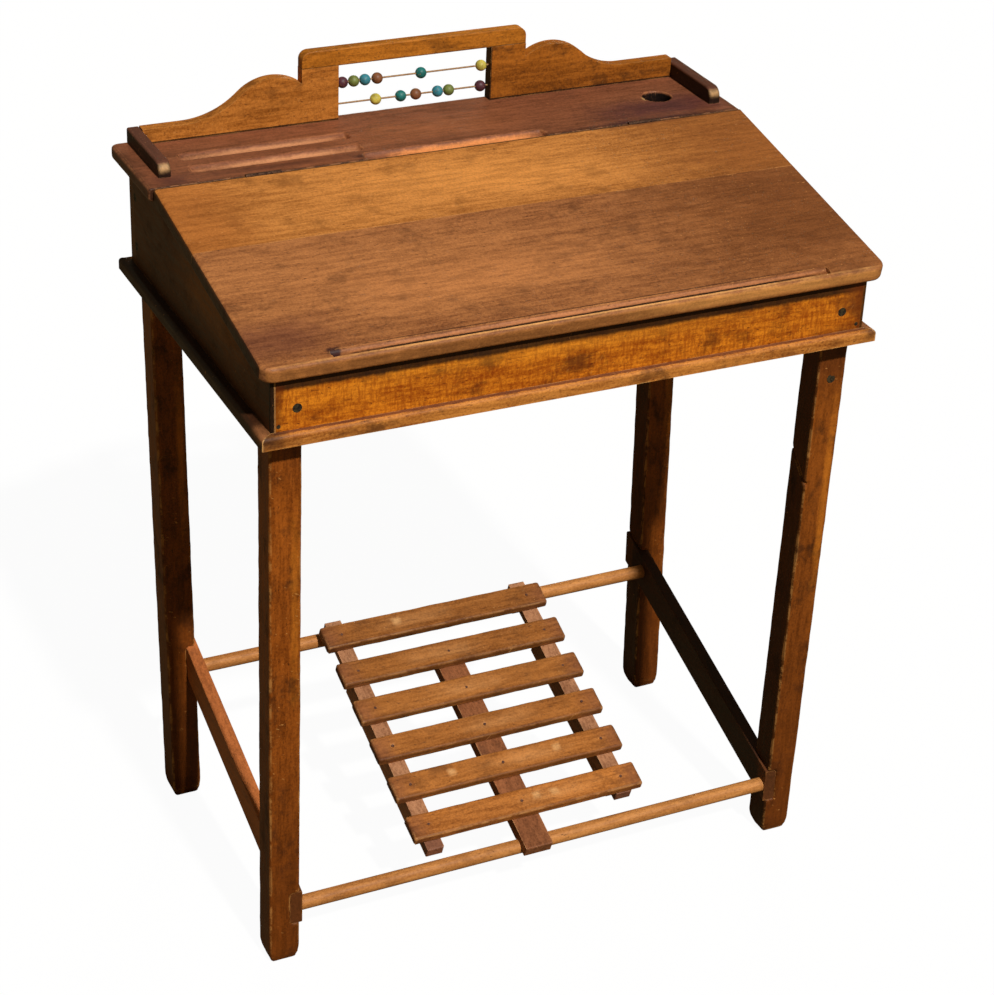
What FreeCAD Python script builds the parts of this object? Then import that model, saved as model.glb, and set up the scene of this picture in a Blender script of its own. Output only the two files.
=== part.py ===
import FreeCAD, Part
import math
import os
import re
import Sketcher

# A wooden school desk for a child: a shallow case with a sloping lid, a flat till board with
# pencil grooves and an inkwell hole, a scrolled gallery that holds a counting frame, four legs
# that lean in a little towards the floor, and a slatted footrest that lifts about its rear dowel.
#
# Frame: X to the pupil's right, Y away from the pupil, Z up from the floor, millimetres.
# The origin lies on the floor under the middle of the desk.

doc = FreeCAD.newDocument("SchoolDesk")

# Driving sizes, in millimetres and degrees.
SIZES = [
    # the case
    ("case_width", 607), ("case_depth", 392), ("case_tall", 132.5), ("top_height", 735),
    ("side_thick", 15), ("apron_thick", 13), ("back_thick", 13), ("bottom_thick", 12), ("rabbet_lip", 3.5),
    # the till board, which is the flat rear part of the top
    ("till_thick", 13), ("till_depth", 121), ("till_side_over", 14.7), ("till_rear_over", 10),
    ("till_shift", -0.7), ("till_corner", 8), ("till_edge", 2.5),
    # pencil grooves and inkwell hole
    ("pencil_radius", 10), ("pencil_deep", 4.5), ("pencil_long", 194), ("pencil_in", 42.9),
    ("pencil_rear_in", 56), ("pencil_apart", 32), ("lip_groove_long", 212), ("lip_groove_in", 8),
    ("lip_groove_deep", 5.5), ("inkwell_wide", 30), ("inkwell_in", 65.5), ("inkwell_rear_in", 61),
    # the lid
    ("lid_slope", 10.5), ("lid_thick", 16), ("lid_side_over", 13.2), ("lid_shift", 2.2), ("lid_front_over", 10),
    ("lid_upper_long", 110), ("lid_corner", 14), ("lid_edge", 4), ("joint_gap", 1.2), ("rest_gap", 0.3),
    ("lid_groove_radius", 6), ("lid_groove_deep", 3.5), ("lid_groove_side_in", 45.5), ("lid_groove_in", 10),
    ("lid_groove_shift", 5),
    ("cleat_wide", 32), ("cleat_thick", 10), ("cleat_start", 34), ("cleat_front_in", 42.7), ("cleat_in", 113.5),
    ("cleat_edge", 3), ("cleat_screw_long", 20), ("cleat_screw_in", 25),
    # the moulding round the foot of the case
    ("moulding_out", 8.5), ("moulding_side_out", 11), ("moulding_tall", 12.5), ("moulding_edge", 4.5),
    # the legs and what ties them
    ("leg_side", 31.5), ("leg_in", 3.5), ("front_lean", 7), ("rear_lean", 29), ("front_tongue", 50), ("rear_tongue", 108),
    ("leg_edge", 2), ("foot_heel", 13), ("notch_wide", 5), ("notch_deep", 4), ("notch_height", 453),
    ("stretcher_thick", 13), ("stretcher_tall", 38), ("stretcher_start", 80.5), ("stretcher_slope", 18.6),
    ("stretcher_set_in", 1.2), ("housing_deep", 10), ("stretcher_edge", 1),
    ("dowel_wide", 15), ("dowel_blind", 9), ("front_dowel_in", 16), ("front_dowel_height", 62),
    ("rear_dowel_in", 61), ("rear_dowel_height", 166), ("turning_fit", 0.08), ("seat_gap", 0.3),
    # the footrest
    ("slat_long", 262), ("slat_wide", 29.5), ("slat_thick", 9.5), ("seat_rise", 7.8), ("slat_front_in", 2.3), ("slat_first", 1),
    ("slat_edge", 2), ("batten_edge", 1.5), ("side_batten_wide", 18.5), ("side_batten_thick", 25),
    ("side_batten_apart", 221), ("side_batten_rear", 10.5), ("left_batten_short", 12.5),
    ("right_batten_short", 22.5), ("batten_nose", 12), ("batten_waist", 8), ("batten_ear", 13),
    ("mid_batten_wide", 30.5), ("mid_batten_thick", 13), ("mid_batten_rear", 54), ("mid_batten_over", 14.5),
    ("mid_batten_shift", -4.8), ("footrest_shift", -3.5), ("slat_nail_wide", 3), ("slat_nail_long", 16),
    # the gallery
    ("gallery_thick", 12), ("gallery_rear_in", 2), ("gallery_shift", 2), ("cap_shift", -1.7), ("window_wide", 167),
    ("jamb_tall", 57), ("cap_long", 245), ("cap_tall", 17), ("cap_round", 9), ("gallery_edge", 1),
    ("notch_rise", 42.5), ("crest_radius", 52), ("shoulder_out", 188), ("shoulder_rise", 38.5),
    ("left_end_tall", 15.5), ("right_end_tall", 21),
    ("rail_thick", 12.5), ("left_rail_tall", 15), ("right_rail_tall", 16.5), ("rail_front_in", 21.5),
    ("rail_round", 11), ("rail_edge", 2),
    # the counting frame
    ("wire_wide", 1.8), ("wire_let_in", 8), ("upper_wire_rise", 36.5), ("lower_wire_rise", 14.5),
    ("bead_wide", 11.5), ("bead_bore", 2.4),
    # the butt hinges of the lid
    ("hinge_in", 98.5), ("hinge_long", 36), ("leaf_tall", 11), ("leaf_thick", 1), ("knuckle_wide", 4),
    ("knuckle_gap", 0.3), ("hinge_pin_wide", 2), ("hinge_screw_wide", 2.2), ("hinge_screw_long", 9),
    ("hinge_screw_head", 4.2), ("hinge_screw_head_thick", 0.6), ("hinge_screw_apart", 22),
    # screws and nails of the case
    ("screw_head", 9), ("screw_head_thick", 1.6), ("screw_wide", 3.6), ("screw_long", 26),
    ("nail_wide", 4), ("nail_long", 28), ("apron_screw_rise", 33), ("apron_nail_rise", 17.5),
    ("side_screw_low", 33), ("side_screw_apart", 52), ("side_screw_in", 5), ("leg_screw_drop", 46),
]

# Sizes that follow from the driving ones.
SLATS = 6
DERIVED = {
    "case_bottom": "top_height - case_tall",
    "case_front": "-case_depth / 2",
    "case_rear": "case_depth / 2",
    "inner_front": "case_front + apron_thick",
    "inner_rear": "case_rear - back_thick",
    "inner_half": "case_width / 2 - side_thick",
    "till_rear": "case_rear + till_rear_over",
    "till_front": "till_rear - till_depth",
    "till_under": "top_height - till_thick",
    "till_left": "till_shift - case_width / 2 - till_side_over",
    "till_right": "till_shift + case_width / 2 + till_side_over",
    "hinge_y": "till_front - joint_gap / 2",
    "lid_rear": "till_front - joint_gap",
    "lid_half": "case_width / 2 + lid_side_over",
    "lid_long": "(lid_rear - case_front + lid_front_over) / cos(lid_slope)",
    "lid_groove_long": "case_width - 2 * lid_groove_side_in",
    "cleat_apart": "case_width - 2 * cleat_in",
    "cleat_long": "lid_long - cleat_start - cleat_front_in",
    "hinge_apart": "case_width - 2 * hinge_in",
    "leg_inner": "case_width / 2 - leg_in - leg_side",
    "stretcher_inner": "leg_inner + housing_deep - stretcher_thick",
    "rise": "tan(stretcher_slope)",
    "front_dowel_y": "inner_front + front_dowel_in",
    "rear_dowel_y": "inner_rear - rear_dowel_in",
    "foot_slope": "atan((rear_dowel_height - front_dowel_height) / (rear_dowel_y - front_dowel_y))",
    "dowel_run": "(rear_dowel_y - front_dowel_y) / cos(foot_slope)",
    "dowel_end": "stretcher_inner + dowel_blind",
    "left_batten_front": "dowel_run - left_batten_short",
    "right_batten_front": "dowel_run - right_batten_short",
    "mid_batten_front": "dowel_run + mid_batten_over",
    "slat_pitch": f"(dowel_run - slat_front_in) / {SLATS}",
    "slat_seat": "dowel_wide / 2 + seat_rise",
    "gallery_rear": "till_rear - gallery_rear_in",
    "wire_y": "gallery_rear - gallery_thick / 2",
    "crest_run": "shoulder_out - cap_long / 2",
    "crest_fall": "notch_rise - shoulder_rise",
    "crest_chord": "sqrt(crest_run * crest_run + crest_fall * crest_fall)",
    "crest_turn": "asin(crest_chord / 2 / crest_radius) + atan(crest_fall / crest_run)",
    "left_swoop_run": "(shoulder_rise - left_end_tall) / tan(crest_turn / 2)",
    "right_swoop_run": "(shoulder_rise - right_end_tall) / tan(crest_turn / 2)",
}
SCRATCH_CELL = "A1"
LEAST_LENGTH = 1e-4
LEAST_ANGLE = 1e-6
FULL_TURN = 360

sheet = doc.addObject("Spreadsheet::Sheet", "Sizes")
rows = [(alias, str(size)) for alias, size in SIZES]
rows += [(alias, "=" + rule) for alias, rule in DERIVED.items()]
for row, (alias, content) in enumerate(rows, start=1):
    sheet.set(f"A{row}", alias)
    sheet.set(f"B{row}", content)
    sheet.setAlias(f"B{row}", alias)
doc.recompute()
aliases = {alias for alias, _ in rows}
scratch = doc.addObject("Spreadsheet::Sheet", "Scratch")

X_AXIS = FreeCAD.Vector(1, 0, 0)
Y_AXIS = FreeCAD.Vector(0, 1, 0)
Z_AXIS = FreeCAD.Vector(0, 0, 1)
nodes = []


def formula(text):
    """A rule in the sheet's words, as another object's expression writes it."""
    def swap(found):
        word = found.group(0)
        return "Sizes." + word if word in aliases else word
    return re.sub(r"[a-z_]+", swap, text)


def number(text):
    """The value of a rule now, worked out in a scratch sheet that nothing depends on."""
    scratch.set(SCRATCH_CELL, "=" + formula(text))
    scratch.recompute()
    return float(scratch.get(SCRATCH_CELL))


def bind(thing, **properties):
    for name, text in properties.items():
        thing.setExpression(name.replace("__", "."), formula(text))


def node(thing, label):
    thing.Label = label
    nodes.append(thing)
    return thing


# Sketches, pads and pockets

def new_body(label):
    made = doc.addObject("PartDesign::Body", label)
    made.Label = label
    return made


def new_sketch(owner, role, at="0", lift="0"):
    """A sketch on one of the body's own planes, at a place along that plane's axis."""
    drawn = owner.newObject("Sketcher::SketchObject", owner.Label + "_sketch")
    plane = [feature for feature in owner.Origin.OriginFeatures if feature.Role == role][0]
    drawn.AttachmentSupport = [(plane, "")]
    drawn.MapMode = "FlatFace"
    along = f"-({at})" if role == "XZ_Plane" else at
    bind(drawn, AttachmentOffset__Base__y=lift, AttachmentOffset__Base__z=along)
    return drawn


def arc_middle(start, end, radius, side):
    """The point halfway along an arc, on the left of the chord where side is 1."""
    chord = end - start
    half = chord.Length / 2
    rise = radius - math.sqrt(radius ** 2 - half ** 2)
    across = FreeCAD.Vector(-chord.y, chord.x, 0).normalize()
    return (start + end) / 2 + across * rise * side


def draw(sketch, corners):
    """A closed outline. Each corner is (x, y), and (x, y, radius, side) starts an arc."""
    points = [FreeCAD.Vector(number(corner[0]), number(corner[1]), 0) for corner in corners]
    count = len(points)
    for i, corner in enumerate(corners):
        start = points[i]
        end = points[(i + 1) % count]
        if len(corner) > 2:
            middle = arc_middle(start, end, number(corner[2]), corner[3])
            sketch.addGeometry(Part.Arc(start, middle, end), False)
        else:
            sketch.addGeometry(Part.LineSegment(start, end), False)
    first = []
    last = []
    for i in range(count):
        forward = sketch.getPoint(i, 1).distanceToPoint(points[i])
        backward = sketch.getPoint(i, 2).distanceToPoint(points[i])
        first.append(1 if forward <= backward else 2)
        last.append(3 - first[i])
    for i in range(count):
        after = (i + 1) % count
        sketch.addConstraint(Sketcher.Constraint("Coincident", i, last[i], after, first[after]))
    for i, corner in enumerate(corners):
        for kind, text in (("DistanceX", corner[0]), ("DistanceY", corner[1])):
            made = sketch.addConstraint(Sketcher.Constraint(kind, -1, 1, i, first[i], number(text)))
            sketch.setExpression(f"Constraints[{made}]", formula(text))
        if len(corner) > 2:
            made = sketch.addConstraint(Sketcher.Constraint("Radius", i, number(corner[2])))
            sketch.setExpression(f"Constraints[{made}]", formula(corner[2]))
    return sketch


def ring(sketch, x, y, diameter):
    """A circle, for a bore."""
    place = FreeCAD.Vector(number(x), number(y), 0)
    circle = sketch.addGeometry(Part.Circle(place, Z_AXIS, number(diameter) / 2), False)
    for kind, text in (("DistanceX", x), ("DistanceY", y)):
        made = sketch.addConstraint(Sketcher.Constraint(kind, -1, 1, circle, 3, number(text)))
        sketch.setExpression(f"Constraints[{made}]", formula(text))
    made = sketch.addConstraint(Sketcher.Constraint("Diameter", circle, number(diameter)))
    sketch.setExpression(f"Constraints[{made}]", formula(diameter))
    return sketch


def add_feature(owner, kind, sketch, length):
    """A pad or a pocket, as much on either side of its sketch."""
    before = owner.Tip.Shape.Volume if owner.Tip else 0
    made = owner.newObject(kind, owner.Label + "_" + kind.split("::")[1].lower())
    made.Profile = sketch
    made.SideType = "Symmetric"
    bind(made, Length=length)
    doc.recompute()
    if kind == "PartDesign::Pocket" and not made.Shape.Volume < before:
        raise ValueError("a pocket of " + owner.Label + " cuts nothing")
    return made


def pad(owner, sketch, length):
    return add_feature(owner, "PartDesign::Pad", sketch, length)


def pocket(owner, sketch, length):
    return add_feature(owner, "PartDesign::Pocket", sketch, length)


def hollow(owner, at, lift, start, end, radius):
    """A round-bottomed groove with ball ends, turned about an axis along X above the wood."""
    before = owner.Tip.Shape.Volume
    sketch = new_sketch(owner, "XZ_Plane", at, lift)
    draw(sketch, [(start, "0"), (end, "0", radius, -1), (f"{end} - {radius}", f"-{radius}"),
                  (f"{start} + {radius}", f"-{radius}", radius, -1)])
    made = owner.newObject("PartDesign::Groove", owner.Label + "_groove")
    made.Profile = sketch
    made.ReferenceAxis = (sketch, ["H_Axis"])
    made.Angle = FULL_TURN
    doc.recompute()
    if not made.Shape.Volume < before:
        raise ValueError("a groove of " + owner.Label + " cuts nothing")
    return made


def soften(owner, radius, wanted):
    """Round the edges for which wanted(edge) is true."""
    base = owner.Tip
    names = [f"Edge{i}" for i, edge in enumerate(base.Shape.Edges, start=1) if wanted(edge)]
    made = owner.newObject("PartDesign::Fillet", owner.Label + "_fillet")
    made.Base = (base, names)
    bind(made, Radius=radius)
    doc.recompute()
    return made


def runs(edge, axis):
    """True for a straight edge along an axis."""
    if len(edge.Vertexes) < 2 or not isinstance(edge.Curve, Part.Line):
        return False
    return edge.Curve.Direction.cross(axis).Length < LEAST_ANGLE


def middle(edge):
    return edge.valueAt((edge.FirstParameter + edge.LastParameter) / 2)


def same(first, second):
    return abs(first - second) < LEAST_LENGTH


# Solids from Part's own primitives

def cylinder(label, axis, diameter, length, x, y, z):
    """A cylinder that starts at x, y, z and runs along an axis."""
    made = doc.addObject("Part::Cylinder", label)
    made.Placement = FreeCAD.Placement(FreeCAD.Vector(), FreeCAD.Rotation(Z_AXIS, axis))
    bind(made, Radius=f"({diameter}) / 2", Height=length,
         Placement__Base__x=x, Placement__Base__y=y, Placement__Base__z=z)
    return made


def block(label, length, width, height, x, y, z):
    made = doc.addObject("Part::Box", label)
    bind(made, Length=length, Width=width, Height=height,
         Placement__Base__x=x, Placement__Base__y=y, Placement__Base__z=z)
    return made


def group(label, things):
    made = doc.addObject("Part::Compound", label)
    made.Links = things
    return made


def joined(label, things):
    made = doc.addObject("Part::MultiFuse", label)
    made.Shapes = things
    return made


def cut(label, base, tool):
    made = doc.addObject("Part::Cut", label)
    made.Base = base
    made.Tool = tool
    return made


def screw(label, axis, x, y, z, head="screw_head", wide="screw_wide", long="screw_long",
          head_thick="screw_head_thick"):
    """A screw whose flat head lies flush with the face that it enters along an axis."""
    shank = cylinder(label + "_shank", axis, wide, long, x, y, z)
    cap = cylinder(label + "_head", axis, head, head_thick, x, y, z)
    return joined(label, [shank, cap])


SIDES = (("left", -1), ("right", 1))


# Screws and nails of the case: they come first, because the wood is bored for them.

def case_fasteners():
    made = {"apron": [], "left": [], "right": [], "leg": []}
    for side, sign in SIDES:
        tongue = f"{sign} * (leg_inner + inner_half) / 2"
        end_grain = f"{sign} * (case_width / 2 - side_thick / 2)"
        made["apron"].append(screw(f"apron_screw_{side}", Y_AXIS, tongue, "case_front",
                                   "case_bottom + apron_screw_rise"))
        made["apron"].append(cylinder(f"apron_nail_{side}", Y_AXIS, "nail_wide", "nail_long", end_grain,
                                      "case_front", "case_bottom + apron_nail_rise"))
        inward = X_AXIS * -sign
        for level, rise in (("low", "side_screw_low"), ("high", "side_screw_low + side_screw_apart")):
            made[side].append(screw(f"side_screw_{side}_{level}", inward, f"{sign} * case_width / 2",
                                    "inner_rear - side_screw_in", f"case_bottom + {rise}"))
    made["leg"].append(screw("leg_screw", Y_AXIS, "leg_inner + leg_side / 2",
                             "inner_front + front_lean * leg_screw_drop / case_bottom",
                             "case_bottom - leg_screw_drop"))
    return made


fasteners = case_fasteners()
case_screws = node(group("case_screws", [item for kind in fasteners.values() for item in kind
                                         if "nail" not in item.Name]), "case_screws")
apron_nails = node(group("apron_nails", [item for item in fasteners["apron"] if "nail" in item.Name]),
                   "apron_nails")
all_fasteners = group("all_fasteners", [case_screws, apron_nails])


def lid_under(y):
    """Height of the lid's underside at y, with the small gap over the walls that carry it."""
    return f"top_height - lid_thick / cos(lid_slope) - (lid_rear - ({y})) * tan(lid_slope) - rest_gap"


# The case: a bottom board between two side boards, an apron and a back board.

def case_boards():
    bottom = new_body("bottom_board")
    tongue = "leg_inner"
    front_in = "inner_front + leg_side"
    rear_in = "inner_rear - leg_side"
    outline = [(tongue, "inner_front"), (tongue, front_in), ("inner_half", front_in),
               ("inner_half", rear_in), (tongue, rear_in), (tongue, "inner_rear")]
    mirrored = [(f"-({x})", y) for x, y in reversed(outline)]
    pad(bottom, draw(new_sketch(bottom, "XY_Plane", "case_bottom + bottom_thick / 2"), outline + mirrored),
        "bottom_thick")
    node(bottom, "bottom_board")

    apron = new_body("apron_blank")
    pad(apron, draw(new_sketch(apron, "YZ_Plane"), [
        ("case_front", "case_bottom"), ("inner_front", "case_bottom"),
        ("inner_front", lid_under("inner_front")), ("case_front", lid_under("case_front"))]),
        "case_width - 2 * rabbet_lip")
    node(cut("front_apron", apron, all_fasteners), "front_apron")
    bored = group("side_board_cutters", [all_fasteners, apron])
    face = number("case_front")

    for side, sign in SIDES:
        board = new_body(side + "_side_blank")
        pad(board, draw(new_sketch(board, "YZ_Plane", f"{sign} * (case_width - side_thick) / 2"), [
            ("case_front", "case_bottom"), ("inner_rear", "case_bottom"), ("inner_rear", "till_under"),
            ("lid_rear", "till_under"), ("lid_rear", lid_under("lid_rear")),
            ("case_front", lid_under("case_front"))]), "side_thick")
        outside = number("case_width / 2")
        soften(board, "till_edge / 2", lambda edge: runs(edge, Z_AXIS) and same(middle(edge).y, face)
               and same(abs(middle(edge).x), outside))
        node(cut(side + "_side_board", board, bored), side + "_side_board")

    back = new_body("back_board")
    pad(back, draw(new_sketch(back, "YZ_Plane"), [
        ("inner_rear", "case_bottom"), ("case_rear", "case_bottom"),
        ("case_rear", "till_under"), ("inner_rear", "till_under")]), "case_width")
    rear_face = number("case_rear")
    soften(back, "till_edge / 2", lambda edge: runs(edge, Z_AXIS) and same(middle(edge).y, rear_face))
    node(back, "back_board")


case_boards()


# The moulding: four mitred strips round the foot of the case.

def mouldings():
    outer_x = "case_width / 2 + moulding_side_out"
    outer_y = "case_depth / 2 + moulding_out"
    strips = {
        "front_moulding": [("-case_width / 2", "case_front"), (f"-({outer_x})", f"-({outer_y})"),
                           (outer_x, f"-({outer_y})"), ("case_width / 2", "case_front")],
        "rear_moulding": [("-case_width / 2", "case_rear"), ("case_width / 2", "case_rear"),
                          (outer_x, outer_y), (f"-({outer_x})", outer_y)],
        "left_moulding": [("-case_width / 2", "case_front"), ("-case_width / 2", "case_rear"),
                          (f"-({outer_x})", outer_y), (f"-({outer_x})", f"-({outer_y})")],
        "right_moulding": [("case_width / 2", "case_front"), (outer_x, f"-({outer_y})"),
                           (outer_x, outer_y), ("case_width / 2", "case_rear")],
    }
    top = number("case_bottom + moulding_tall")
    for label, corners in strips.items():
        strip = new_body(label)
        plan = new_sketch(strip, "XY_Plane", "case_bottom + moulding_tall / 2")
        pad(strip, draw(plan, corners), "moulding_tall")

        def outer_edge(edge):
            place = middle(edge)
            along_front = runs(edge, X_AXIS) and same(abs(place.y), number(outer_y))
            along_side = runs(edge, Y_AXIS) and same(abs(place.x), number(outer_x))
            return (along_front or along_side) and same(place.z, top)

        soften(strip, "moulding_edge", outer_edge)
        node(strip, label)


mouldings()


# The butt hinges of the lid: two leaves with knuckles on a pin, let into the lid and the till board.

def hinges():
    """Returns the hinges' screws, and what is cut out of the lid and of the till board for them."""
    made = {"lid": [], "case": []}
    screws = {"lid": [], "case": []}
    pins = []
    third = "hinge_long / 3"
    for side, sign in SIDES:
        start = f"{sign} * hinge_apart / 2 - hinge_long / 2"
        bore = cylinder(f"{side}_knuckle_bore", X_AXIS, "hinge_pin_wide + 2 * turning_fit", "hinge_long",
                        start, "hinge_y", "top_height")
        pins.append(cylinder(f"{side}_hinge_pin", X_AXIS, "hinge_pin_wide", "hinge_long",
                             start, "hinge_y", "top_height"))
        for owner, out in (("lid", -1), ("case", 1)):
            name = f"{side}_hinge_{owner}"
            plate_y = "lid_rear - leaf_thick" if owner == "lid" else "till_front"
            plate = block(name + "_plate", "hinge_long", "leaf_thick", "leaf_tall", start, plate_y,
                          "top_height - leaf_tall")
            web_y = "lid_rear - leaf_thick" if owner == "lid" else "hinge_y"
            places = [1] if owner == "lid" else [0, 2]
            others = [0, 2] if owner == "lid" else [1]
            solids = []
            for i in places:
                left = f"{start} + {i} * {third} + {0 if i == 0 else 1} * knuckle_gap / 2"
                ends = 2 if i == 1 else 1
                long = f"{third} - {ends} * knuckle_gap / 2"
                solids.append(cylinder(f"{name}_knuckle_{i}", X_AXIS, "knuckle_wide", long, left,
                                       "hinge_y", "top_height"))
                solids.append(block(f"{name}_web_{i}", long, "leaf_thick + joint_gap / 2", "leaf_thick",
                                    left, web_y, "top_height - knuckle_wide / 2"))
            relief = [cylinder(f"{name}_relief_{i}", X_AXIS, "knuckle_wide + 2 * knuckle_gap",
                               third, f"{start} + {i} * {third}", "hinge_y", "top_height") for i in others]
            cleared = cut(name + "_cleared", plate, group(name + "_reliefs", relief))
            whole = joined(name + "_whole", [cleared] + solids)
            heads = []
            for place in (-1, 1):
                x = f"{sign} * hinge_apart / 2 + {place} * hinge_screw_apart / 2"
                face_y = "lid_rear" if owner == "lid" else "till_front"
                heads.append(screw(f"{name}_screw_{'a' if place < 0 else 'b'}", Y_AXIS * out, x, face_y,
                                   "top_height - (leaf_tall + knuckle_wide / 2) / 2",
                                   "hinge_screw_head", "hinge_screw_wide", "hinge_screw_long",
                                   "hinge_screw_head_thick"))
            screws[owner].extend(heads)
            leaf = cut(name + "_leaf", whole, group(name + "_bores", [bore] + heads))
            node(leaf, f"{side}_hinge_{owner}_leaf")
            room = cylinder(name + "_room", X_AXIS, "knuckle_wide + 2 * knuckle_gap",
                            "hinge_long + 2 * knuckle_gap", f"{start} - knuckle_gap", "hinge_y", "top_height")
            made[owner].extend([plate, room] + heads)
    node(group("hinge_pins", pins), "hinge_pins")
    node(group("till_screws", screws["case"]), "till_screws")
    return screws["lid"], {owner: group(f"hinge_{owner}_recess", made[owner]) for owner in made}


hinge_lid_screws, recess = hinges()


# The till board: the flat rear part of the top, with three pencil grooves and the inkwell hole.

def till_board():
    board = new_body("till_blank")
    pad(board, draw(new_sketch(board, "XY_Plane", "top_height - till_thick / 2"), [
        ("till_left", "till_front"), ("till_right", "till_front"),
        ("till_right", "till_rear"), ("till_left", "till_rear")]), "till_thick")
    clear_front = number("till_front + till_edge")
    rear_face = number("till_rear")
    soften(board, "till_corner", lambda edge: runs(edge, Z_AXIS) and middle(edge).y > clear_front)
    soften(board, "till_edge", lambda edge: not runs(edge, Z_AXIS) and same(middle(edge).y, rear_face))
    lift = "top_height + pencil_radius"
    left = "till_left + pencil_in"
    for y in ("till_rear - pencil_rear_in", "till_rear - pencil_rear_in - pencil_apart"):
        hollow(board, y, f"{lift} - pencil_deep", left, f"{left} + pencil_long", "pencil_radius")
    hollow(board, "till_front + lip_groove_in", f"{lift} - lip_groove_deep", "-lip_groove_long / 2",
           "lip_groove_long / 2", "pencil_radius")
    inkwell = ring(new_sketch(board, "XY_Plane", "top_height - till_thick / 2"),
                   "till_right - inkwell_in", "till_rear - inkwell_rear_in", "inkwell_wide")
    pocket(board, inkwell, "2 * till_thick")
    node(cut("till_board", board, recess["case"]), "till_board")


till_board()


# The lid: two planks edge to edge, held flat by two cleats screwed up from below.

def on_lid(down, deep):
    """A place in the YZ plane, so far down the slope and so deep below the lid's top face."""
    y = f"lid_rear - ({down}) * cos(lid_slope) + ({deep}) * sin(lid_slope)"
    z = f"top_height - ({down}) * sin(lid_slope) - ({deep}) * cos(lid_slope)"
    return y, z


def cleat_screws():
    made = []
    for side, sign in SIDES:
        middle_down = "cleat_start + cleat_long / 2"
        places = ("cleat_start + cleat_screw_in", middle_down, "cleat_start + cleat_long - cleat_screw_in")
        for i, down in enumerate(places):
            y, z = on_lid(down, "lid_thick + cleat_thick")
            parts = []
            for name, wide, long in (("shank", "screw_wide", "cleat_screw_long"),
                                     ("head", "screw_head", "screw_head_thick")):
                part = cylinder(f"cleat_screw_{side}_{i}_{name}", X_AXIS, wide, long,
                                f"{sign} * cleat_apart / 2", y, z)
                part.Placement.Rotation = FreeCAD.Rotation(X_AXIS, number("lid_slope"))
                bind(part, Placement__Rotation__Angle="lid_slope")
                parts.append(part)
            made.append(joined(f"cleat_screw_{side}_{i}", parts))
    return made


def lid(fixings):
    slope = FreeCAD.Vector(0, number("cos(lid_slope)"), number("sin(lid_slope)"))
    upright = X_AXIS.cross(slope)
    upper = new_body("upper_plank_blank")
    pad(upper, draw(new_sketch(upper, "YZ_Plane", "lid_shift"), [
        ("lid_rear", "top_height"), ("lid_rear", "top_height - lid_thick / cos(lid_slope)"),
        on_lid("lid_upper_long", "lid_thick"), on_lid("lid_upper_long", "0")]), "2 * lid_half")
    side_faces = [number("lid_shift - lid_half"), number("lid_shift + lid_half")]
    soften(upper, "lid_edge", lambda edge: runs(edge, slope)
           and any(same(middle(edge).x, face) for face in side_faces))
    upper_cutters = group("upper_plank_cutters", [recess["lid"], fixings])
    node(cut("lid_upper_plank", upper, upper_cutters), "lid_upper_plank")

    lower = new_body("lower_plank_blank")
    pad(lower, draw(new_sketch(lower, "YZ_Plane", "lid_shift"), [
        on_lid("lid_upper_long", "0"), on_lid("lid_upper_long", "lid_thick"),
        on_lid("lid_long", "lid_thick"), on_lid("lid_long", "0")]), "2 * lid_half")
    nose_y = number(on_lid("lid_long", "lid_thick")[0]) + number("lid_edge")
    soften(lower, "lid_corner", lambda edge: runs(edge, upright) and middle(edge).y < nose_y)
    soften(lower, "lid_edge", lambda edge: runs(edge, X_AXIS) and middle(edge).y < nose_y)
    y, z = on_lid("lid_long - lid_groove_in", "lid_groove_deep - lid_groove_radius")
    hollow(lower, y, z, "lid_groove_shift - lid_groove_long / 2", "lid_groove_shift + lid_groove_long / 2",
           "lid_groove_radius")
    node(cut("lid_lower_plank", lower, fixings), "lid_lower_plank")

    for side, sign in SIDES:
        cleat = new_body(f"{side}_cleat_blank")
        end = "cleat_start + cleat_long"
        deep = "lid_thick + cleat_thick"
        pad(cleat, draw(new_sketch(cleat, "YZ_Plane", f"{sign} * cleat_apart / 2"), [
            on_lid("cleat_start", "lid_thick"), on_lid("cleat_start", deep),
            on_lid(end, deep), on_lid(end, "lid_thick")]), "cleat_wide")
        under = FreeCAD.Vector(0, *[number(place) for place in on_lid("cleat_start", deep)])
        soften(cleat, "cleat_edge", lambda edge: same((middle(edge) - under).dot(upright), 0))
        node(cut(f"lid_{side}_cleat", cleat, fixings), f"lid_{side}_cleat")


fixings = group("cleat_fixings", cleat_screws())
node(group("lid_screws", hinge_lid_screws + [fixings]), "lid_screws")
lid(fixings)


# The legs: square posts that lean in towards the floor. Each ends in a tongue inside the case.

def leg_line(end, height, across="0"):
    """Where the outer face of a leg is at a height, plus a distance towards the middle."""
    if end == "front":
        return f"inner_front + front_lean * (1 - ({height}) / case_bottom) + ({across})"
    return f"inner_rear - rear_lean * (1 - ({height}) / case_bottom) - ({across})"


def stretcher_top(y):
    return f"stretcher_start + (({y}) - inner_front) * rise"


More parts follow.
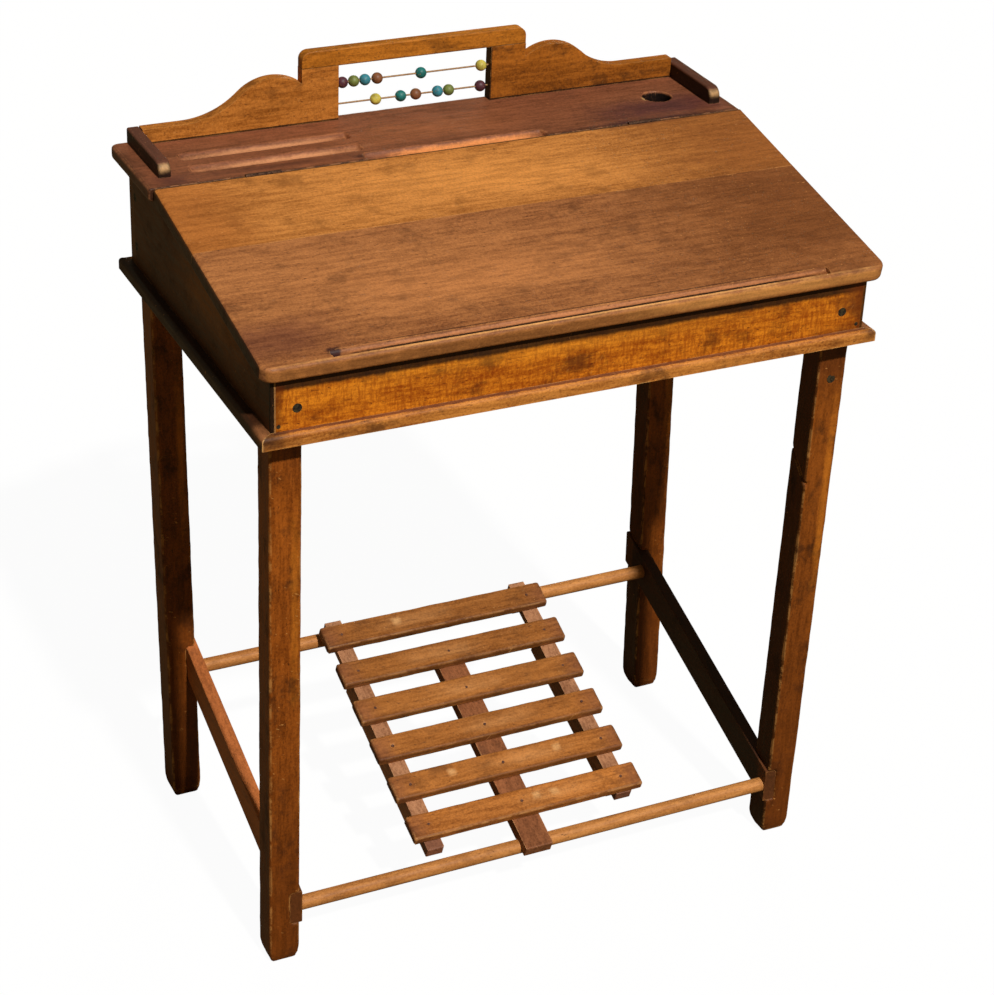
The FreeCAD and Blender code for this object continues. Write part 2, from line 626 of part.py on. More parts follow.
def legs():
    for side, sign in SIDES:
        for end in ("front", "rear"):
            label = f"{end}_{side}_leg"
            leg = new_body(label + "_blank")
            tongue = end + "_tongue"
            edge_y = "inner_front" if end == "front" else "inner_rear"
            inward = "+" if end == "front" else "-"
            if end == "front":
                foot = [(leg_line(end, "0"), "0"),
                        (leg_line(end, "0", "leg_side - foot_heel"), "0", "foot_heel", -1),
                        (leg_line(end, "foot_heel", "leg_side"), "foot_heel")]
            else:
                foot = [(leg_line(end, "foot_heel"), "foot_heel", "foot_heel", 1),
                        (leg_line(end, "0", "foot_heel"), "0"), (leg_line(end, "0", "leg_side"), "0")]
            profile = [(edge_y, f"case_bottom + {tongue}"), (edge_y, "case_bottom"), *foot,
                       (f"{edge_y} {inward} leg_side", "case_bottom"),
                       (f"{edge_y} {inward} leg_side", f"case_bottom + {tongue}")]
            middle_x = f"{sign} * (leg_inner + leg_side / 2)"
            pad(leg, draw(new_sketch(leg, "YZ_Plane", middle_x), profile), "leg_side")
            toe = number(leg_line(end, "0", "0" if end == "front" else "leg_side"))
            case_line = number("case_bottom") - LEAST_LENGTH
            soften(leg, "leg_edge", lambda edge: middle(edge).z < case_line
                   and (not runs(edge, X_AXIS) or same(middle(edge).y, toe)))
            outer = f"{sign} * (leg_inner + leg_side)"
            shoulder = f"{sign} * inner_half"
            pocket(leg, draw(new_sketch(leg, "XZ_Plane", f"{edge_y} {inward} leg_side / 2"), [
                (shoulder, "case_bottom"), (outer, "case_bottom"),
                (outer, f"case_bottom + {tongue}"), (shoulder, f"case_bottom + {tongue}")]), "2 * leg_side")
            near = leg_line(end, "0", "-leg_side")
            far = leg_line(end, "case_bottom", "2 * leg_side")
            pocket(leg, draw(new_sketch(leg, "YZ_Plane", f"{sign} * leg_inner"), [
                (near, stretcher_top(near)), (far, stretcher_top(far)),
                (far, f"{stretcher_top(far)} - stretcher_tall"),
                (near, f"{stretcher_top(near)} - stretcher_tall")]), "2 * housing_deep")
            if end == "front" and side == "right":
                notch(leg)
            node(cut(label, leg, all_fasteners), label)


def notch(leg):
    """An old slanting notch across the inner face of the front right leg."""
    reach = "leg_side"
    centre = "inner_front + leg_side / 2 + front_lean / 2"
    pocket(leg, draw(new_sketch(leg, "YZ_Plane", "leg_inner"), [
        (f"{centre} - {reach}", f"notch_height - {reach}"),
        (f"{centre} + {reach}", f"notch_height + {reach}"),
        (f"{centre} + {reach}", f"notch_height + {reach} + notch_wide"),
        (f"{centre} - {reach}", f"notch_height - {reach} + notch_wide")]), "2 * notch_deep")


legs()


# Stretchers and dowels: boards on edge let into the legs, tied by two round dowels.

def dowel(label, end, wide="dowel_wide"):
    return cylinder(label, X_AXIS, wide, "2 * dowel_end", "-dowel_end",
                    f"{end}_dowel_y", f"{end}_dowel_height")


front_dowel = node(dowel("front_dowel", "front"), "front_dowel")
rear_dowel = node(dowel("rear_dowel", "rear"), "rear_dowel")
dowel_cutters = group("dowel_cutters", [front_dowel, rear_dowel])


def stretchers():
    for side, sign in SIDES:
        board = new_body(side + "_stretcher_blank")

        def corner(end, drop):
            start = f"(stretcher_start - {drop})"
            if end == "front":
                reach = "(front_lean + stretcher_set_in)"
                z = f"({start} + {reach} * rise) / (1 + front_lean * rise / case_bottom)"
            else:
                reach = "(inner_rear - inner_front - rear_lean - stretcher_set_in)"
                z = f"({start} + {reach} * rise) / (1 - rear_lean * rise / case_bottom)"
            return leg_line(end, z, "stretcher_set_in"), z

        pad(board, draw(new_sketch(board, "YZ_Plane", f"{sign} * (stretcher_inner + stretcher_thick / 2)"), [
            corner("front", "0"), corner("rear", "0"), corner("rear", "stretcher_tall"),
            corner("front", "stretcher_tall")]), "stretcher_thick")
        clear_front = number("inner_front + leg_side")
        clear_rear = number("inner_rear - leg_side")
        soften(board, "stretcher_edge", lambda edge: not runs(edge, X_AXIS)
               and clear_front < middle(edge).y < clear_rear)
        node(cut(side + "_stretcher", board, dowel_cutters), side + "_stretcher")


stretchers()


# The footrest: six slats nailed on three battens. The side battens are bored and turn on the
# rear dowel, and the centre batten comes to rest on the front dowel.
# Its pieces are drawn flat, with the rear dowel's axis as X, and then tipped to its slope.

def tip(thing):
    """Lay a footrest piece at its slope, with its X axis on the rear dowel's axis."""
    thing.Placement = FreeCAD.Placement(FreeCAD.Vector(), FreeCAD.Rotation(X_AXIS, number("foot_slope")))
    bind(thing, Placement__Base__x="footrest_shift", Placement__Base__y="rear_dowel_y",
         Placement__Base__z="rear_dowel_height", Placement__Rotation__Angle="foot_slope")
    return thing


BATTENS = (
    ("left_batten", "-side_batten_apart / 2", "side_batten_wide", "side_batten_thick",
     "side_batten_rear", "-left_batten_front"),
    ("centre_batten", "mid_batten_shift", "mid_batten_wide", "mid_batten_thick",
     "-mid_batten_rear", "-mid_batten_front"),
    ("right_batten", "side_batten_apart / 2", "side_batten_wide", "side_batten_thick",
     "side_batten_rear", "-right_batten_front"),
)


def slat_rear(i):
    return f"-slat_first - {i} * slat_pitch"


def under_slat(i):
    return f"{slat_rear(i)} - slat_wide / 2"


def footrest():
    nails = []
    for i in range(SLATS):
        for label, x, wide, thick, rear, front in BATTENS:
            if label == "centre_batten" and i == 0:
                continue
            nails.append(cylinder(f"slat_nail_{i + 1}_{label}", -Z_AXIS, "slat_nail_wide", "slat_nail_long",
                                  x, under_slat(i), "slat_seat + slat_thick"))
    nail_group = node(tip(group("slat_nails", nails)), "slat_nails")

    for i in range(SLATS):
        slat = new_body(f"slat_{i + 1}_blank")
        rear = slat_rear(i)
        front = f"{rear} - slat_wide"
        pad(slat, draw(new_sketch(slat, "XY_Plane", "slat_seat + slat_thick / 2"), [
            ("-slat_long / 2", front), ("slat_long / 2", front),
            ("slat_long / 2", rear), ("-slat_long / 2", rear)]), "slat_thick")
        top = number("slat_seat + slat_thick")
        soften(slat, "slat_edge", lambda edge: same(middle(edge).z, top) or runs(edge, Z_AXIS))
        node(cut(f"slat_{i + 1}", tip(slat), nail_group), f"slat_{i + 1}")

    bore = dowel("batten_bore", "rear", "dowel_wide + 2 * turning_fit")
    saddle = dowel("batten_saddle", "front", "dowel_wide + 2 * seat_gap")
    for label, x, wide, thick, rear, front in BATTENS:
        batten = new_body(label + "_blank")
        low = f"slat_seat - {thick}"
        outline = [(rear, "slat_seat"), (rear, low), (front, low), (front, "slat_seat")]
        if label != "centre_batten":
            waist = [("-batten_ear", low), ("-batten_ear", "slat_seat - batten_waist"),
                     (under_slat(1), "slat_seat - batten_waist"), (under_slat(1), low)]
            nose = [(under_slat(SLATS - 1), low), (under_slat(SLATS - 1), "slat_seat - batten_nose"),
                    (front, "slat_seat - batten_nose")]
            outline[2:3] = waist + nose
        pad(batten, draw(new_sketch(batten, "YZ_Plane", x), outline), wide)
        ends = (number(rear), number(front))
        soften(batten, "batten_edge", lambda edge: any(same(middle(edge).y, end) for end in ends))
        cutters = group(label + "_cutters", [nail_group, bore, saddle])
        node(cut(label, tip(batten), cutters), label)


footrest()


# The gallery: two scrolled boards, a cap rail that bridges them, and an end rail on either side.

def gallery():
    for side, sign in SIDES:
        end = f"case_width / 2 + {sign} * gallery_shift - rail_thick"
        middle_in = f"window_wide / 2 + {sign} * cap_shift"
        cap_in = f"cap_long / 2 + {sign} * cap_shift"
        board = new_body(f"gallery_{side}_blank")
        low = f"{side}_end_tall"
        run = f"{side}_swoop_run"
        outline = [(middle_in, "0"), (middle_in, "jamb_tall"), (cap_in, "jamb_tall"),
                   (cap_in, "notch_rise", "crest_radius", sign),
                   ("shoulder_out", "shoulder_rise", f"{run} / sin(crest_turn)", -sign),
                   (f"shoulder_out + {run}", low), (end, low), (end, "0")]
        corners = [(f"{sign} * ({x})", f"top_height + {z}", *arc) for x, z, *arc in outline]
        pad(board, draw(new_sketch(board, "XZ_Plane", "wire_y"), corners), "gallery_thick")
        node(cut(f"gallery_{side}_scroll", board, wires), f"gallery_{side}_scroll")

    cap = new_body("gallery_cap_rail")
    low = "top_height + jamb_tall"
    high = "top_height + jamb_tall + cap_tall"
    pad(cap, draw(new_sketch(cap, "XZ_Plane", "wire_y"), [
        ("cap_shift - cap_long / 2", low), ("cap_shift + cap_long / 2", low),
        ("cap_shift + cap_long / 2", high), ("cap_shift - cap_long / 2", high)]), "gallery_thick")
    soften(cap, "cap_round", lambda edge: runs(edge, Y_AXIS) and same(middle(edge).z, number(high)))
    soften(cap, "gallery_edge", lambda edge: runs(edge, X_AXIS) and same(middle(edge).z, number(high)))
    node(cap, "gallery_cap_rail")

    for side, sign in SIDES:
        rail = new_body(side + "_end_rail")
        top = f"top_height + {side}_rail_tall"
        pad(rail, draw(new_sketch(rail, "YZ_Plane", f"gallery_shift + {sign} * (case_width - rail_thick) / 2"), [
            ("till_front + rail_front_in", "top_height"), ("gallery_rear", "top_height"),
            ("gallery_rear", top), ("till_front + rail_front_in", top)]), "rail_thick")
        tip_y = number("till_front + rail_front_in")
        top_z = number(top)
        soften(rail, "rail_round", lambda edge: runs(edge, X_AXIS) and same(middle(edge).y, tip_y)
               and same(middle(edge).z, top_z))
        soften(rail, "rail_edge", lambda edge: runs(edge, Y_AXIS) and same(middle(edge).z, top_z))
        node(rail, side + "_end_rail")


def wire(label, rise):
    return cylinder(label, X_AXIS, "wire_wide", "window_wide + 2 * wire_let_in",
                    "cap_shift - window_wide / 2 - wire_let_in", "wire_y", f"top_height + {rise}")


upper_wire = node(wire("upper_wire", "upper_wire_rise"), "upper_wire")
lower_wire = node(wire("lower_wire", "lower_wire_rise"), "lower_wire")
wires = group("wires", [upper_wire, lower_wire])
gallery()


# The counting frame's beads, each at its place as a share of half the window's width.
BEAD_SHARES = (
    ("upper", "purple", -0.925), ("upper", "green", -0.779), ("upper", "blue", -0.634),
    ("upper", "brown", -0.475), ("upper", "teal", 0.099), ("upper", "yellow", 0.9),
    ("lower", "yellow", -0.491), ("lower", "teal", -0.162), ("lower", "brown", 0.037),
    ("lower", "blue", 0.326), ("lower", "green", 0.474), ("lower", "purple", 0.898),
)


def beads():
    for level, colour, share in BEAD_SHARES:
        label = f"{level}_{colour}_bead"
        x = f"cap_shift + {share} * window_wide / 2"
        z = f"top_height + {level}_wire_rise"
        ball = doc.addObject("Part::Sphere", label + "_ball")
        ball.Placement = FreeCAD.Placement(FreeCAD.Vector(), FreeCAD.Rotation(Z_AXIS, X_AXIS))
        bind(ball, Radius="bead_wide / 2",
             Placement__Base__x=x, Placement__Base__y="wire_y", Placement__Base__z=z)
        bore = cylinder(label + "_bore", X_AXIS, "bead_bore", "2 * bead_wide", f"{x} - bead_wide",
                        "wire_y", z)
        node(cut(label, ball, bore), label)


beads()


# Check every object, then write one file for each node.

doc.recompute()
for thing in doc.Objects:
    for fault in ("Invalid", "Error"):
        if fault in thing.State:
            raise ValueError(f"{thing.Label} is {thing.State}")
for thing in nodes:
    if thing.Shape.isNull() or not thing.Shape.isValid():
        raise ValueError(thing.Label + " has no valid shape")

os.makedirs("parts", exist_ok=True)
for thing in nodes:
    thing.Shape.exportStep(f"parts/{thing.Label}.step")
print(len(nodes), "nodes")
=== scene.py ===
import math

import bpy
from mathutils import Matrix, Vector


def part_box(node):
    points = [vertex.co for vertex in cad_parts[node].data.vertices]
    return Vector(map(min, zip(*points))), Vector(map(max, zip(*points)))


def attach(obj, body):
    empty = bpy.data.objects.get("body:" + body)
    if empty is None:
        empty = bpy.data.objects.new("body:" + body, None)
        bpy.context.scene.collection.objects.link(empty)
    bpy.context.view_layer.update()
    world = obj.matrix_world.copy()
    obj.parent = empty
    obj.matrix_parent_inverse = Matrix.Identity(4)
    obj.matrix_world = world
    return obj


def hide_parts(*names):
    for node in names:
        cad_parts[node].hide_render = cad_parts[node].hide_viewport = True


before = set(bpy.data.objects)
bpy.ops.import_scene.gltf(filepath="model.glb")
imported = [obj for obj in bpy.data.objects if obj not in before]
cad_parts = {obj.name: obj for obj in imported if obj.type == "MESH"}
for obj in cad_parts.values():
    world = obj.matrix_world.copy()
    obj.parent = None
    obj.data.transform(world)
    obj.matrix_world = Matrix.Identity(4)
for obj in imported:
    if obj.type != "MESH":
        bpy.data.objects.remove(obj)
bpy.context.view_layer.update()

# Studio: the camera stands where the photograph's camera stood, left of the desk, in front and above it.
# A soft sun from in front lights the desk, a weak low one from behind reaches its rear faces, and a faint
# sky fills the shade. The floor is plain and nearly white.
CM = 0.01
MM = 0.001
SENSOR_MM = 36
FOCAL_PIXELS = 2485.44
PHOTO_PIXELS = 994
CAMERA_PLACE = Vector((-968.9, -1990.9, 1647.3)) * MM
CAMERA_YAW = math.radians(26.3274)
CAMERA_PITCH = math.radians(29.7021)
CAMERA_ROLL = math.radians(2.607)
camera_data = bpy.data.cameras.new("desk camera")
camera_data.sensor_fit = "HORIZONTAL"
camera_data.sensor_width = SENSOR_MM
camera_data.lens = SENSOR_MM * FOCAL_PIXELS / PHOTO_PIXELS
camera_data.clip_start = 5 * CM
camera = bpy.data.objects.new("desk camera", camera_data)
bpy.context.collection.objects.link(camera)
camera.location = CAMERA_PLACE
turned = Matrix.Rotation(-CAMERA_YAW, 3, "Z")
turned = turned @ Matrix.Rotation(math.pi / 2 - CAMERA_PITCH, 3, "X")
turned = turned @ Matrix.Rotation(CAMERA_ROLL, 3, "Z")
camera.rotation_euler = turned.to_euler()
bpy.context.scene.camera = camera


def sun(name, comes_from, strength, softness, colour):
    """A lamp as far off as the sun. Its softness is the angle that it fills in the sky."""
    data = bpy.data.lights.new(name, "SUN")
    data.energy = strength
    data.angle = softness
    data.color = colour
    lamp = bpy.data.objects.new(name, data)
    bpy.context.collection.objects.link(lamp)
    lamp.rotation_euler = comes_from.to_track_quat("Z", "Y").to_euler()
    return lamp


KEY_FROM = Vector((0.04, -0.66, 0.75))
REAR_FROM = Vector((0.5, 0.86, 0.09))
sun("studio key", KEY_FROM, strength=3.5, softness=math.radians(2.5), colour=(1.0, 0.965, 0.91))
rear = sun("studio rear fill", REAR_FROM, strength=2.4, softness=math.radians(20), colour=(1.0, 0.95, 0.88))
rear.visible_glossy = False

# A Mix node's number, vector and colour sockets share their names, so its colour sockets are found by place.
MIX_FIRST = 6
MIX_SECOND = 7
MIX_RESULT = 2


def put(tree, kind, values=None, **settings):
    """Adds a node with its own settings, and fills or links its inputs."""
    made = tree.nodes.new(kind)
    for name, value in settings.items():
        setattr(made, name, value)
    for key, value in (values or {}).items():
        if isinstance(value, bpy.types.NodeSocket):
            tree.links.new(value, made.inputs[key])
        else:
            made.inputs[key].default_value = value
    return made


def math_of(tree, operation, *values):
    """The result of one Math node."""
    return put(tree, "ShaderNodeMath", dict(enumerate(values)), operation=operation).outputs[0]


def mixed(tree, factor, first, second):
    """The colour between two colours."""
    made = put(tree, "ShaderNodeMix", {
        "Factor": factor, MIX_FIRST: first, MIX_SECOND: second}, data_type="RGBA")
    return made.outputs[MIX_RESULT]


def shaders_mixed(tree, factor, first, second):
    """The shader between two shaders."""
    return put(tree, "ShaderNodeMixShader", {0: factor, 1: first, 2: second}).outputs[0]


def in_view(tree, path):
    """1 for the rays that the camera sees straight or through a clear thing, else 0."""
    return math_of(tree, "MAXIMUM", path.outputs["Is Camera Ray"], path.outputs["Is Transmission Ray"])


FILL_STRENGTH = 0.11
FILL_COLOUR = (1.0, 0.92, 0.6, 1)
GLOSS_SHARE = 0.03
WHITE = (1, 1, 1, 1)
world = bpy.data.worlds.new("studio")
world.use_nodes = True
bpy.context.scene.world = world
sky_tree = world.node_tree
sky_tree.nodes.clear()
path = put(sky_tree, "ShaderNodeLightPath")
glossy = math_of(sky_tree, "MULTIPLY", path.outputs["Is Glossy Ray"], GLOSS_SHARE)
seen = math_of(sky_tree, "MAXIMUM", in_view(sky_tree, path), glossy)
sky_strength = put(sky_tree, "ShaderNodeMapRange", {
    "Value": seen, "To Min": FILL_STRENGTH, "To Max": 1.0}).outputs["Result"]
sky = put(sky_tree, "ShaderNodeBackground", {
    "Color": mixed(sky_tree, seen, FILL_COLOUR, WHITE), "Strength": sky_strength})
put(sky_tree, "ShaderNodeOutputWorld", {"Surface": sky.outputs[0]})

FLOOR_WIDE = 4000 * CM
FLOOR_BOUNCE = (0.15, 0.12, 0.065, 1)
FLOOR_SHADOW_SHARE = 0.04
bpy.ops.mesh.primitive_plane_add(size=FLOOR_WIDE)
floor = bpy.context.active_object
floor.name = "studio_floor"
floor_look = bpy.data.materials.new("studio floor")
floor_look.use_nodes = True
floor_tree = floor_look.node_tree
floor_tree.nodes.clear()
path = put(floor_tree, "ShaderNodeLightPath")
bounce = put(floor_tree, "ShaderNodeBsdfDiffuse", {"Color": FLOOR_BOUNCE}).outputs[0]
pale = put(floor_tree, "ShaderNodeBsdfDiffuse", {"Color": WHITE}).outputs[0]
glow = put(floor_tree, "ShaderNodeEmission", {"Color": WHITE, "Strength": 1.0}).outputs[0]
lit = shaders_mixed(floor_tree, FLOOR_SHADOW_SHARE, glow, pale)
whole = shaders_mixed(floor_tree, in_view(floor_tree, path), bounce, lit)
put(floor_tree, "ShaderNodeOutputMaterial", {"Surface": whole})
floor.data.materials.append(floor_look)


# Case boards: the desk's box is screwed, nailed and glued from stained hardwood boards, with the grain along
# each. Its sides are painted nearly black as painted shade, its front apron is golden with a faint cross
# figure, and its bottom is raw.
def tint(colour):
    """A colour as a paint chart gives it, 0 to 255, made linear for the shaders."""
    shares = [value / 255 for value in colour]
    return [((s + 0.055) / 1.055) ** 2.4 if s > 0.04045 else s / 12.92 for s in shares] + [1]


def shaded(colour, share):
    """A colour made darker or lighter by a share."""
    return [share * value for value in colour]


def group(name, inputs, outputs):
    """A shader node group with named sockets: its tree, its input node and its output node."""
    tree = bpy.data.node_groups.new(name, "ShaderNodeTree")
    for title, value in inputs.items():
        kind = "NodeSocketVector" if isinstance(value, tuple) else "NodeSocketFloat"
        tree.interface.new_socket(name=title, in_out="INPUT", socket_type=kind).default_value = value
    for title in outputs:
        tree.interface.new_socket(name=title, in_out="OUTPUT", socket_type="NodeSocketFloat")
    return tree, tree.nodes.new("NodeGroupInput"), tree.nodes.new("NodeGroupOutput")


def vector_of(tree, operation, *values):
    """The result of one Vector Math node."""
    made = put(tree, "ShaderNodeVectorMath", dict(enumerate(values)), operation=operation)
    return made.outputs["Value" if operation == "DOT_PRODUCT" else "Vector"]


def cloud(tree, place, stretch, detail=2.0, roughness=0.5):
    """Noise whose cells are 1 m long on each axis divided by the stretch on that axis."""
    cells = vector_of(tree, "MULTIPLY", place, stretch)
    noise = put(tree, "ShaderNodeTexNoise", {
        "Vector": cells, "Scale": 1.0, "Detail": detail, "Roughness": roughness})
    return noise.outputs["Fac"]


def rise(tree, value, low, high):
    """0 below low, 1 above high, and smooth between."""
    made = put(tree, "ShaderNodeMapRange", {
        "Value": value, "From Min": low, "From Max": high}, interpolation_type="SMOOTHSTEP")
    return made.outputs["Result"]


ORIGIN = (0.0, 0.0, 0.0)

# The grain runs along X: bands, wisps and fibres that wander a little, dark pores, and a cross figure.
DRIFTS_PER_METRE = 7.0
grain, start, end = group("wood grain", {
    "Place": ORIGIN, "Wander": 6 * MM}, ["Bands", "Wisps", "Flecks", "Fibres", "Cross figure"])
drift = put(grain, "ShaderNodeTexNoise", {
    "Vector": start.outputs["Place"], "Scale": DRIFTS_PER_METRE, "Detail": 3.0})
drift = vector_of(grain, "SUBTRACT", drift.outputs["Color"], (0.5, 0.5, 0.5))
drift = put(grain, "ShaderNodeVectorMath", {
    0: drift, "Scale": start.outputs["Wander"]}, operation="SCALE").outputs["Vector"]
bent = vector_of(grain, "ADD", start.outputs["Place"], drift)
for title, stretch, detail, roughness in (
        ("Bands", (3, 17, 17), 4.0, 0.6),
        ("Wisps", (24, 230, 230), 5.0, 0.7),
        ("Fibres", (40, 900, 900), 3.0, 0.6),
        ("Cross figure", (330, 60, 60), 3.0, 0.65)):
    grain.links.new(cloud(grain, bent, stretch, detail, roughness), end.inputs[title])
pores = cloud(grain, bent, (150, 560, 560), 3.0, 0.7)
grain.links.new(rise(grain, pores, 0.60, 0.70), end.inputs["Flecks"])

# Age shows as rubbed arrises, dents and scratches in places, and blotches and mottle all over.
SCRATCH_TURN = (0.5, 0.9, 0.7)
age, start, end = group("age", {
    "Place": ORIGIN, "Edge width": 3 * MM}, ["Edge", "Nicks", "Scratches", "Blotches", "Mottle"])
place = start.outputs["Place"]
rounded = put(age, "ShaderNodeBevel", {"Radius": start.outputs["Edge width"]}, samples=6)
flat = put(age, "ShaderNodeNewGeometry")
level = vector_of(age, "DOT_PRODUCT", rounded.outputs["Normal"], flat.outputs["Normal"])
arris = rise(age, math_of(age, "SUBTRACT", 1.0, level), 0.015, 0.16)
rubbed = put(age, "ShaderNodeAttribute", attribute_name="rubbed").outputs["Fac"]
arris = math_of(age, "MAXIMUM", arris, rise(age, rubbed, 0.42, 0.95))
breaks = rise(age, cloud(age, place, (60, 60, 60), 5.0, 0.75), 0.42, 0.58)
age.links.new(math_of(age, "MULTIPLY", arris, breaks), end.inputs["Edge"])
dents = rise(age, cloud(age, place, (75, 160, 160), 3.0, 0.7), 0.685, 0.73)
dented = rise(age, cloud(age, place, (11, 11, 11), 1.0), 0.47, 0.56)
age.links.new(math_of(age, "MULTIPLY", dents, dented), end.inputs["Nicks"])
crossed = put(age, "ShaderNodeMapping", {"Vector": place, "Rotation": SCRATCH_TURN}).outputs["Vector"]
lines = rise(age, cloud(age, crossed, (20, 420, 420), 2.0), 0.68, 0.74)
scratched = rise(age, cloud(age, place, (9, 9, 9)), 0.48, 0.60)
age.links.new(math_of(age, "MULTIPLY", lines, scratched), end.inputs["Scratches"])
blotches = rise(age, cloud(age, place, (24, 34, 34), 5.0, 0.7), 0.50, 0.70)
age.links.new(blotches, end.inputs["Blotches"])
age.links.new(cloud(age, place, (420, 420, 420), 4.0, 0.75), end.inputs["Mottle"])

# Grime and painted shade creep in raggedly from the faces of a box: the mask darkens a board along its
# edges, partly as dirt and partly as painted shade in its joints and corners.
GRIME_AND_SHADE_RAGGEDNESS = 2.2
grime_and_shade, start, end = group("grime_and_shade", {
    "Place": ORIGIN, "Low": ORIGIN, "High": (1.0, 1.0, 1.0), "Reach": (CM, CM, CM)}, ["Mask"])
from_low = vector_of(grime_and_shade, "SUBTRACT", start.outputs["Place"], start.outputs["Low"])
from_high = vector_of(grime_and_shade, "SUBTRACT", start.outputs["High"], start.outputs["Place"])
nearest = vector_of(grime_and_shade, "MINIMUM", from_low, from_high)
nearest = vector_of(grime_and_shade, "DIVIDE", nearest, start.outputs["Reach"])
apart = put(grime_and_shade, "ShaderNodeSeparateXYZ", {"Vector": nearest})
nearest = math_of(grime_and_shade, "MINIMUM", apart.outputs["X"], apart.outputs["Y"])
nearest = math_of(grime_and_shade, "MINIMUM", nearest, apart.outputs["Z"])
ragged = math_of(grime_and_shade, "SUBTRACT", cloud(grime_and_shade, start.outputs["Place"], (45, 45, 45), 5.0, 0.7), 0.5)
nearest = math_of(grime_and_shade, "ADD", nearest, math_of(grime_and_shade, "MULTIPLY", ragged, GRIME_AND_SHADE_RAGGEDNESS))
grime_and_shade.links.new(rise(grime_and_shade, nearest, 1.0, 0.05), end.inputs["Mask"])

# A patch is a box with well-rounded corners, because its distances are summed as fourth powers.
PATCH_CORE = 0.1
PATCH_RAGGEDNESS = 0.8
patch_mask, start, end = group("patch", {
    "Place": ORIGIN, "Centre": ORIGIN, "Reach": (1.0, 1.0, 1.0), "Core": PATCH_CORE,
    "Raggedness": PATCH_RAGGEDNESS}, ["Mask"])
away = vector_of(patch_mask, "SUBTRACT", start.outputs["Place"], start.outputs["Centre"])
away = vector_of(patch_mask, "DIVIDE", away, start.outputs["Reach"])
away = vector_of(patch_mask, "MULTIPLY", away, away)
away = math_of(patch_mask, "POWER", vector_of(patch_mask, "DOT_PRODUCT", away, away), 1 / 4)
ragged = cloud(patch_mask, start.outputs["Place"], (70, 70, 70), 5.0, 0.7)
ragged = math_of(patch_mask, "SUBTRACT", ragged, 0.5)
ragged = math_of(patch_mask, "MULTIPLY", ragged, start.outputs["Raggedness"])
away = math_of(patch_mask, "ADD", away, ragged)
patch_mask.links.new(rise(patch_mask, away, 1.0, start.outputs["Core"]), end.inputs["Mask"])


def laid_over(tree, colour, mask, depth, paint):
    """A colour with a paint over it where the mask is, as deep as told."""
    return mixed(tree, math_of(tree, "MULTIPLY", mask, depth), colour, paint)


ALONG_X = (0, 0, 0)
ALONG_Y = (0, 0, math.pi / 2)
ALONG_Z = (0, math.pi / 2, 0)
BAND_SHARE = 0.30
WISP_SHARE = 0.38
MOTTLE_SHARE = 0.32
PATCH_DARK_SHARE = 0.84
PATCH_LIGHT_SHARE = 1.12
NICK_DEPTH = 0.75
NICK_HOLLOW = 2.5
ROUGHNESS_SPREAD = 0.22


